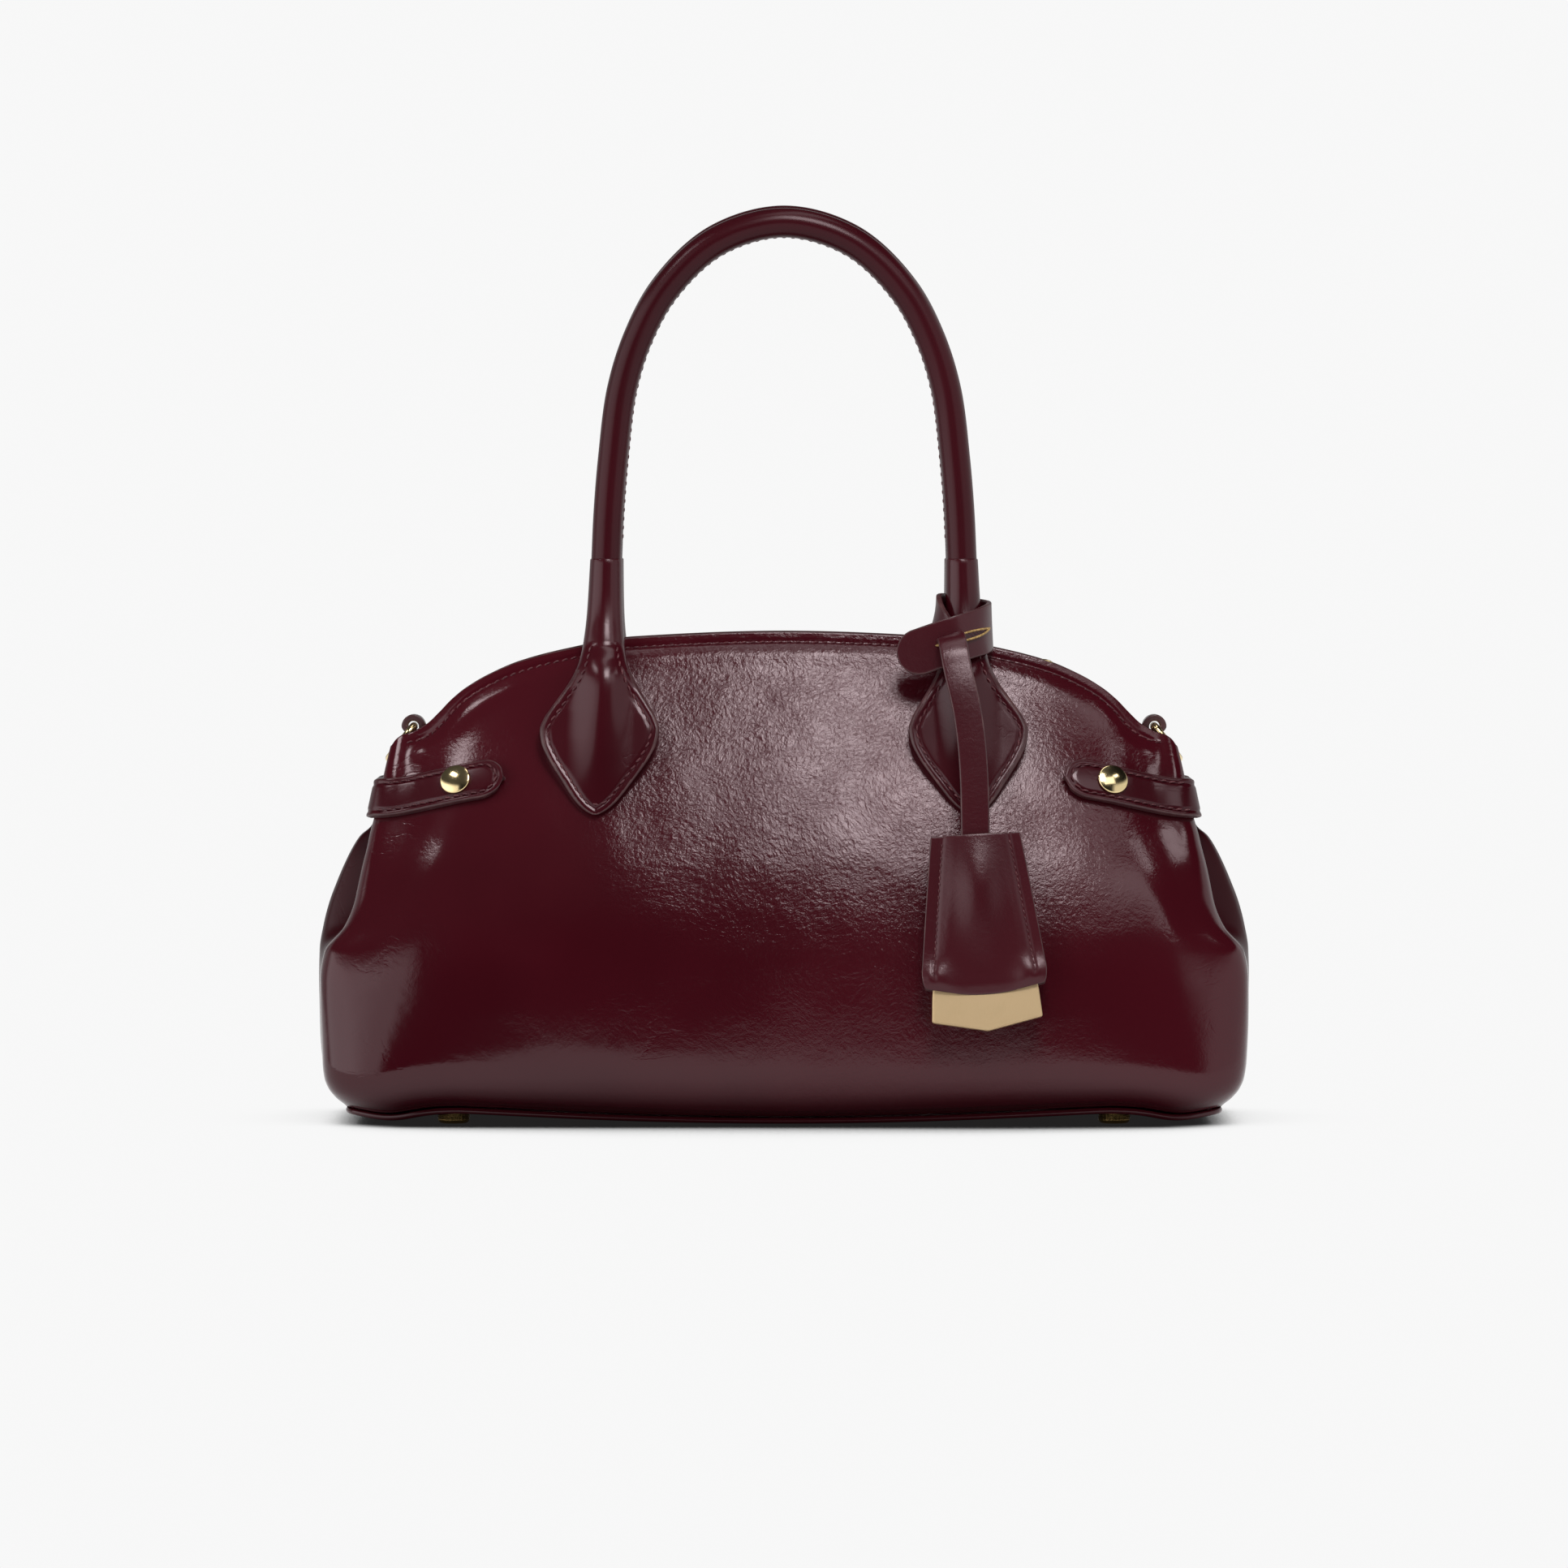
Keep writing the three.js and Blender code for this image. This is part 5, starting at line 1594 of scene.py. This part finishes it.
@dataclass
class RingTabs:
    """A leather loop and a D ring at each end of the mouth."""

    shape: BodyShape
    finishes: Finishes
    bar_x: float = 136.8
    bar_z: float = 147.4
    wire: float = 1.45
    lean: float = math.radians(52.5)
    tab_bore: float = 2.0
    tab_outer: float = 4.4
    tab_half_width: float = 5.0
    tab_foot: float = 143.1
    tab_pinch: float = 0.62
    tab_steps: int = 10
    outline: tuple[tuple[float, float], ...] = (
        (-3.5, 0), (3.5, 0), (7.2, 0.5), (8.8, 3.4), (8.7, 7.4), (6.2, 12.4), (0, 15), (-6.2, 12.4),
        (-8.7, 7.4), (-8.8, 3.4), (-7.2, 0.5))

    def tab(self) -> MeshParts:
        """Folds the right tab round the ring's bar."""
        outer = self.tab_outer
        turn = np.linspace(0, math.pi, 40)
        drop = self.tab_foot - self.bar_z
        foot = np.linspace(drop, 0, self.tab_steps, endpoint=False)
        right = np.column_stack((outer * (1 - self.tab_pinch * smoothstep(-foot, 0, -drop)), foot))
        left = np.column_stack((np.full(self.tab_steps, -outer), foot))[::-1]
        arc = np.column_stack((outer * np.cos(turn), outer * np.sin(turn)))
        line = np.concatenate((right, arc, left))
        across = np.linspace(-1, 1, 13)[None] * self.tab_half_width
        grid = np.stack(np.broadcast_arrays(line[:, 0, None], across, line[:, 1, None]), -1)
        return slab(grid, outer - self.tab_bore, 7)

    def ring(self) -> MeshParts:
        """Bends the right ring."""
        down = np.array((math.cos(self.lean), 0.0, -math.sin(self.lean)))
        knots = [tuple(np.array((0.0, across, 0.0)) + down * drop) for across, drop in self.outline]
        path = smooth_path(knots, 120, closed=True)
        facing = np.array((math.sin(self.lean), 0.0, math.cos(self.lean)))
        return sweep(path, facing, self.wire, 20, round_trip=True)

    def build(self) -> None:
        """Makes both tabs and both rings."""
        tab, ring = self.tab(), self.ring()
        for side, body in ((Side.LEFT, Body.RING_LEFT), (Side.RIGHT, Body.RING_RIGHT)):
            name = side.name.lower()
            axes = np.diag((side.value, side.value, 1.0))
            origin = np.array((side.value * self.bar_x, 0.0, self.bar_z))
            make_piece(f"ring_tab_{name}_leather", tab.placed(origin, axes),
                       (self.finishes.trim, self.finishes.edge), (f"ring_tab_{name}",))
            make_piece(f"ring_{name}_metal", ring.placed(origin, axes), (self.finishes.gold,),
                       (f"ring_{name}",), body)


# Feet


@dataclass
class Feet:
    """The four knurled metal feet."""

    shape: BodyShape
    finishes: Finishes
    sides: int = 96
    knurls: int = 26
    knurl_depth: float = 0.2
    knurl_twist: float = 5.2
    height: float = 4.3
    radius: float = 5.7
    toe: float = 1.5

    def profile(self) -> Array:
        """Gives radii and heights from the rounded toe up to the top."""
        turn = np.linspace(0, math.pi / 2, 9)
        toe = np.column_stack((self.radius - self.toe * (1 - np.sin(turn)), self.toe * (1 - np.cos(turn))))
        rise = np.linspace(self.toe, self.height - 0.5, 18)[1:]
        wall = np.column_stack((np.full(len(rise), self.radius), rise))
        ends = np.array(((0.4, 0.0), (self.radius - 0.5, self.height), (0.4, self.height)))
        return np.concatenate((ends[:1], toe, wall, ends[1:]))

    def build(self) -> None:
        """Makes the feet."""
        rows = self.profile()
        turn = full_turn(self.sides)[None]
        z = rows[:, 1:]
        twist = self.knurl_twist * z
        fade = smoothstep(z, 0.4, 1.4) * smoothstep(self.height - z, 0.4, 0.8)
        ripple = np.cos(self.knurls / 2 * turn + twist) * np.cos(self.knurls / 2 * turn - twist)
        foot = lathe(rows, self.sides, self.knurl_depth * fade * ripple)
        for face in Face:
            for side in Side:
                node = f"foot_{face.name.lower()}_{side.name.lower()}"
                x, y = side.value * self.shape.foot_x, face.value * self.shape.foot_y
                standing = foot.placed(np.array((x, y, -BAG_PLACE[2])), np.eye(3))
                # The feet's darker gold is painted shade.
                make_piece(f"{node}_metal", standing, (self.finishes.foot_shade_gold,), (node,))


# Tag


@dataclass
class Tag:
    """The tag: its knot round a handle sleeve, the hanging strap, the bell and the plate."""

    finishes: Finishes
    knot_route: tuple[tuple[float, ...], ...] = (
        (42.0, -36.4, 172.8, -0.32, 0.12, 0.94), (49.0, -36.8, 175.2, -0.32, 0.12, 0.94),
        (57.0, -37.0, 178.0, -0.31, 0.12, 0.94), (65.0, -36.2, 180.6, -0.27, 0.12, 0.95),
        (71.6, -31.6, 182.6, -0.20, 0.10, 0.97), (75.0, -24.4, 184.2, -0.10, -0.10, 1.0),
        (75.3, -17.2, 185.2, 0.0, -0.15, 1.0), (72.2, -11.2, 186.4, 0.15, -0.10, 1.0),
        (66.0, -8.8, 188.0, 0.30, 0.0, 0.95), (60.4, -10.2, 189.6, 0.20, 0.10, 0.97),
        (57.4, -15.6, 190.0, 0.10, 0.20, 0.97), (56.0, -22.4, 187.4, 0.25, -0.30, 0.90),
        (57.8, -28.4, 182.6, 0.55, -0.45, 0.70), (62.0, -31.2, 177.4, 0.78, -0.20, 0.55),
        (64.6, -31.8, 174.6, 0.80, -0.15, 0.50))
    knot_half_width: float = 8.5
    return_half_width: float = 6.6
    knot_leather: float = 2.0
    slit_from: float = 14.5
    slit_to: float = 40.0
    slit_half_width: float = 1.6
    strap_route: tuple[tuple[float, ...], ...] = (
        (60.6, -33.0, 179.6), (61.0, -38.0, 180.6), (61.5, -43.0, 179.6), (62.1, -46.4, 176.2),
        (63.2, -49.0, 170.2), (64.7, -51.4, 163.6), (66.4, -53.6, 156.0), (67.7, -55.6, 148.0),
        (68.6, -57.6, 139.5), (69.2, -59.8, 130.0), (69.5, -62.0, 120.0), (69.6, -64.0, 110.4),
        (69.7, -64.8, 106.0))
    strap_half_width: float = 5.3
    strap_leather: float = 2.2
    place: tuple[float, float, float] = (69.6, -64.6, 108.9)
    lean: float = math.radians(-11.7)
    roll: float = math.radians(-3.6)
    bell_half: SmoothCurve = SmoothCurve((
        (0, 15.9), (4, 16.5), (46, 21.9), (50, 22.4), (53, 22.2), (55.5, 21.4), (57.4, 19.6)))
    bell_side_drop: float = 55.4
    bell_point: float = 3.0
    bell_leather: float = 1.7
    bell_crown: float = 0.8
    bell_stitch_inset: float = 4.0
    bell_stitches: Stitching = Stitching(pitch=2.3, length=1.7, radius=0.27)
    bell_groove: float = 0.35
    bell_swell: float = 3.2
    bell_swell_width: float = 8.5
    bell_puff: float = 1.7
    bell_tuck: float = 0.9
    plate_outline: tuple[tuple[float, float], ...] = (
        (-16.5, 38), (16.5, 38), (19.4, 58), (20.1, 67.8), (0, 72.0), (-20.1, 67.8), (-19.4, 58))
    plate_thickness: float = 2.6
    plate_bevel: float = 0.8

    def knot_face(self) -> tuple[Array, Array, Array, Array]:
        """Lays out the knot's band, a paddle that goes round the sleeve and comes back behind itself.

        Returns:
            The outer face's points, the middle line on it, and the ways out and across along it.
        """
        rows = smooth_path(self.knot_route, 210)
        path, along = rows[:, :3], unit(np.gradient(rows[:, :3], axis=0))
        wide = unit(rows[:, 3:] - along * (rows[:, 3:] * along).sum(axis=1, keepdims=True))
        out = np.cross(along, wide)
        length = walked(path)
        narrowing = (self.return_half_width - self.knot_half_width) * smoothstep(length, 48, 72)
        full = self.knot_half_width + narrowing - self.knot_leather / 2 * LIP_BULGE
        half = full * np.sqrt(1 - (1 - np.clip(length / full, 0.006, 1)) ** 2)
        level = np.linspace(-1, 1, 19)
        middle = path + out * (self.knot_leather / 2)
        grid = middle[:, None] + wide[:, None] * (level[None, :, None] * half[:, None, None])
        return grid, middle, out, wide

    def slit_parts(self, middle: Array, out: Array, wide: Array) -> MeshParts:
        """Makes the slit that the strap comes through.

        Args:
            middle: The band's middle line on its outer face.
            out: The way out along it.
            wide: The way across the band along it.

        Returns:
            The raw lips as finish 0, and as finish 1 a thin dark sheet across the slit: painted shade for its
            inside.
        """
        length = walked(middle)
        inside = (length > self.slit_from) & (length < self.slit_to)
        line, away, across = middle[inside], out[inside], wide[inside]
        swell = self.slit_half_width * np.sin(np.linspace(0, math.pi, len(line)))[:, None]
        upper = line + away * 0.15 + across * swell * 0.7
        lower = line + away * (0.15 + 0.5 * swell) - across * swell
        loop = np.concatenate((upper, lower[-2:0:-1], upper[:1]))
        lips = sweep(even_path(loop, 161)[:-1], away.mean(axis=0), 0.4, 10, True)
        # A thin sheet across the slit, dark with the zip cloth's colour: painted shade where the slit's
        # inside lies in shadow.
        slit_shade_sheet = np.stack([upper + (lower - upper) * share for share in np.linspace(0, 1, 5)], axis=1)
        return lips.join(slab(slit_shade_sheet, 0.05), 1)

    def strap_parts(self) -> MeshParts:
        """Hangs the narrow strap from the slit to the bell."""
        path = smooth_path(self.strap_route, 170)
        along = unit(np.gradient(path, axis=0))
        side = unit(np.cross(np.array((0.0, -1.0, 0.3)), along))
        out = np.cross(along, side)
        level = np.linspace(-1, 1, 15)[None, :, None]
        half = self.strap_half_width - self.strap_leather / 2 * LIP_BULGE
        crown = self.strap_leather / 2 + 0.2 * (1 - level**2)
        grid = path[:, None] + side[:, None] * level * half + out[:, None] * crown
        return slab(grid[:, ::-1], self.strap_leather, 7)

    def axes(self) -> Array:
        """Gives the directions of the leaning tag's own axes, one row each."""
        return np.array(Euler((self.lean, self.roll, 0), "XYZ").to_matrix()).T

    def bell_face(self, across: Array, down: Array) -> Array:
        """Gives points on the bell's front leaf, in the tag's own frame.

        Args:
            across: Shares of the half width.
            down: Distances below the top edge.

        Returns:
            The points.
        """
        half = self.bell_half(down)
        beside = np.abs(across) * half
        seam = smoothstep(half - beside, 2.6, 9.0)
        low = smoothstep(down, 40, 54)
        under_strap = (0.2 + 0.8 * smoothstep(down, -4, 19)) * (1 - smoothstep(down, 19, 52))
        strap = self.bell_swell * hump(beside, self.bell_swell_width) * under_strap
        puff = self.bell_puff * hump(half - beside - 4.5, 6.5) * hump(down - 52, 5.2)
        belly = self.bell_crown * (seam + (0.55 - seam) * 0.5 * low) * (0.65 + 0.35 * smoothstep(down, 0, 46))
        tuck = self.bell_tuck * smoothstep(down, 54, 60)
        sewn = hump(half - beside - self.bell_stitch_inset, 0.8) * (1 - smoothstep(down, 51, 54))
        depth = self.bell_leather + 0.05 + belly + strap + puff - self.bell_groove * sewn - tuck
        return np.stack(np.broadcast_arrays(across * half, -depth, -down), -1)

    def build_bell(self) -> None:
        """Makes the bell's two leaves and its stitches."""
        across = np.sin(np.linspace(-1, 1, 91) * math.pi / 2)[None]
        drop = self.bell_side_drop + self.bell_point * (1 - np.abs(across) ** 2.2)
        grid = self.bell_face(across, drop * np.linspace(0, 1, 90)[:, None])
        leaf = slab(grid[:, ::-1], self.bell_leather)
        origin, axes = np.array(self.place), self.axes()
        both = MeshParts().join(leaf).join(leaf.mirrored((1, -1, 1)))
        make_piece("tag_bell_leather", both.placed(origin, axes), (self.finishes.tag, self.finishes.edge),
                   ("tag_bell",))
        run = np.linspace(2.0, 51.5, 120)
        stitches = MeshParts()
        for side in Side:
            share = side.value * (1 - self.bell_stitch_inset / self.bell_half(run))
            path = self.bell_face(share, run)
            outward = np.broadcast_to(-BACKWARD, path.shape)
            row = self.bell_stitches.row(path, outward)
            stitches.join(row).join(row.mirrored((1, -1, 1)))
        make_piece("tag_bell_stitches", stitches.placed(origin, axes), (self.finishes.thread,))

    def build_plate(self) -> None:
        """Makes the plate with bevelled edges."""
        work = bmesh.new()
        half = self.plate_thickness / 2
        rim = [work.verts.new((x, -half, -down)) for x, down in self.plate_outline]
        face = work.faces.new(rim)
        pulled = bmesh.ops.extrude_face_region(work, geom=[face])
        moved = [v for v in pulled["geom"] if isinstance(v, bmesh.types.BMVert)]
        bmesh.ops.translate(work, verts=moved, vec=(0, self.plate_thickness, 0))
        bmesh.ops.bevel(work, geom=work.edges[:], offset=self.plate_bevel, segments=3, profile=0.6,
                        affect="EDGES")
        work.verts.index_update()
        points = np.array([v.co for v in work.verts])
        faces = [[v.index for v in f.verts] for f in work.faces]
        work.free()
        parts = MeshParts([points], faces, [0] * len(faces), len(points))
        parts = parts.placed(np.array(self.place), self.axes())
        plate = make_piece("tag_plate_metal", parts, (self.finishes.satin,), ("tag_plate",))
        plate.data.polygons.foreach_set("use_smooth", [False] * len(plate.data.polygons))

    def build(self) -> None:
        """Makes the whole tag."""
        leather, edge = self.finishes.tag, self.finishes.edge
        grid, middle, out, wide = self.knot_face()
        band = slab(grid[:, ::-1], self.knot_leather, 7)
        make_piece("tag_knot_leather", band, (leather, edge), ("tag_knot",))
        slit = self.slit_parts(middle, out, wide)
        # The zip cloth's dark colour on the slit's sheet is painted shade.
        make_piece("tag_knot_slit", slit, (self.finishes.raw, self.finishes.zip_cloth))
        make_piece("tag_strap_leather", self.strap_parts(), (leather, edge), ("tag_strap",))
        self.build_bell()
        self.build_plate()


# Studio


@dataclass(frozen=True)
class Softbox:
    """A softbox: where it hangs, what it points at, its width and height, and how bright its face is."""

    name: str
    place: tuple[float, float, float]
    aim: tuple[float, float, float]
    size: tuple[float, float]
    radiance: float

    def build(self) -> None:
        """Hangs the softbox."""
        light = bpy.data.lights.new(self.name, "AREA")
        light.shape = "RECTANGLE"
        light.size, light.size_y = self.size
        light.energy = self.radiance * math.pi * self.size[0] * self.size[1]
        box = bpy.data.objects.new(self.name, light)
        box.location = self.place
        box.rotation_euler = (Vector(self.aim) - Vector(self.place)).to_track_quat("-Z", "Y").to_euler()
        box.visible_camera = False
        bpy.context.scene.collection.objects.link(box)


@dataclass
class Studio:
    """The pale floor, the lights and the camera. Sizes here are metres."""

    white: float = 0.935
    frame_width: float = 0.5796
    frame_middle: float = 0.1232
    distance: float = 4.0
    pitch: float = math.radians(1.6)
    floor_rings: tuple[float, ...] = (0.05, 0.5, 1.5, 4.0, 9.0)
    shadow_reach: float = 0.16
    floor_sides: int = 96
    shadow: Colour = (0.016, 0.015, 0.015, 1)
    shadow_half_width: float = 0.136
    shadow_fade: float = 0.036
    side_light: float = 0.9
    bounce_loss: float = 0.35
    softboxes: tuple[Softbox, ...] = (
        Softbox("key", (0.135, -0.65, 0.94), (0.04, -0.06, 0.12), (0.32, 0.34), 13.0),
        Softbox("overhead", (0.1, -0.12, 1.3), (0.0, -0.05, 0.15), (0.7, 0.3), 2.0),
        Softbox("left", (-0.6525, -0.372, 1.02), (-0.135, -0.055, 0.103), (0.28, 0.125), 8.5),
        Softbox("right", (0.717, -0.386, 0.9685), (0.144, -0.055, 0.09), (0.2, 0.09), 4.0),
        Softbox("fill", (0.491, -0.727, 0.878), (0.09, -0.06, 0.1), (0.5, 0.3), 1.7),
    )

    def build_camera(self) -> None:
        """Sets the long lens in front of the bag."""
        lens = bpy.data.cameras.new("camera")
        lens.sensor_width = 36.0
        lens.lens = lens.sensor_width * self.distance / self.frame_width
        lens.clip_end = 60.0
        camera = bpy.data.objects.new("camera", lens)
        bag_y = BAG_PLACE[1] * MM
        reach = self.distance * math.cos(self.pitch)
        camera.location = (0.0, bag_y - reach, self.frame_middle + self.distance * math.sin(self.pitch))
        camera.rotation_euler = (math.pi / 2 - self.pitch, 0.0, 0.0)
        bpy.context.scene.collection.objects.link(camera)
        bpy.context.scene.camera = camera

    def build_floor(self) -> None:
        """Lays the glowing floor, with a painted contact shadow: its glow darkens by ambient occlusion where
        the bag stands close over it.
        """
        shader = Shader(bpy.data.materials.new("studio_floor"))
        # Ambient occlusion blends the floor's glow towards the shadow colour: a painted contact shadow, which
        # fades out beside the bag's ends.
        painted_shadow_ao = shader.node("ShaderNodeAmbientOcclusion", {"samples": 12},
                               {"Distance": self.shadow_reach}, "AO")
        across = shader.node("ShaderNodeSeparateXYZ", None, {0: shader.place()}, "X")
        shadow_end = self.shadow_half_width + self.shadow_fade
        beside = abs(across).eased(self.shadow_half_width, shadow_end) * self.side_light
        lit = painted_shadow_ao.eased(0.42, 0.8)
        share = lit + (1 - lit) * beside * painted_shadow_ao.eased(0.1, 0.5)
        bounced = shader.node("ShaderNodeLightPath", output="Is Diffuse Ray")
        pale = shader.blend(share * (1 - bounced * self.bounce_loss), self.shadow, (self.white,) * 3 + (1,))
        glow = shader.node("ShaderNodeEmission", None, {"Color": pale, "Strength": 1.0})
        shader.node("ShaderNodeOutputMaterial", None, {"Surface": glow})
        sides = self.floor_sides
        turn = full_turn(sides)
        rings = np.array([[(r * math.cos(t), r * math.sin(t), 0.0) for t in turn] for r in self.floor_rings])
        points = np.concatenate((rings.reshape(-1, 3), np.zeros((1, 3))))
        hub = len(points) - 1
        faces = quads(len(rings), sides, True).tolist() + [[hub, i, (i + 1) % sides] for i in range(sides)]
        mesh = bpy.data.meshes.new("floor")
        mesh.from_pydata(points.tolist(), [], faces)
        mesh.materials.append(shader.owner)
        floor = bpy.data.objects.new("floor", mesh)
        bpy.context.scene.collection.objects.link(floor)

    def build_world(self) -> None:
        """Surrounds the bag with low white cards at its sides and back, in a dark room."""
        shader = Shader(bpy.data.worlds.new("studio"))
        bpy.context.scene.world = shader.owner
        way = shader.node("ShaderNodeTexCoord", output="Generated")
        x, y, z = (shader.node("ShaderNodeSeparateXYZ", None, {0: way}, axis) for axis in "XYZ")
        card = (0 - x).eased(0.34, 0.41) * (1 - z.eased(0.47, 0.57))
        left = card * (0 - y).eased(-0.35, 0.1) * (1.15 + (0 - x).eased(0.45, 0.75) * 0.7)
        right = x.eased(0.45, 0.62) * (1 - z.eased(0.48, 0.6)) * 0.8
        back = y.eased(0.0, 0.3) * (1 - z.eased(0.3, 0.6)) * 0.5
        ceiling = z.eased(0.45, 0.7) * (1 - x.eased(0.1, 0.5)) * 0.05 + 0.008
        room = left.larger(right).larger(back) + ceiling
        seen = shader.node("ShaderNodeLightPath", output="Is Camera Ray")
        light = shader.node("ShaderNodeBackground", None,
                            {"Color": room * (1 - seen) + self.white * seen, "Strength": 1.0})
        shader.node("ShaderNodeOutputWorld", None, {"Surface": light})

    def build(self) -> None:
        """Sets up the camera, the floor and the lights."""
        bpy.context.scene.view_settings.view_transform = "Standard"
        self.build_camera()
        self.build_floor()
        self.build_world()
        for softbox in self.softboxes:
            softbox.build()


def main() -> None:
    """Builds the satchel and its studio."""
    logging.basicConfig(level=logging.INFO, format="%(message)s")
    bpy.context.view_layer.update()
    finishes = Finishes()
    shape = BodyShape()
    Shell(shape, finishes).build()
    ZipClosure(shape, finishes).build()
    Handles(shape, finishes).build()
    SideStraps(shape, finishes).build()
    RingTabs(shape, finishes).build()
    Feet(shape, finishes).build()
    Tag(finishes).build()
    Studio().build()


if __name__ == "__main__":
    main()
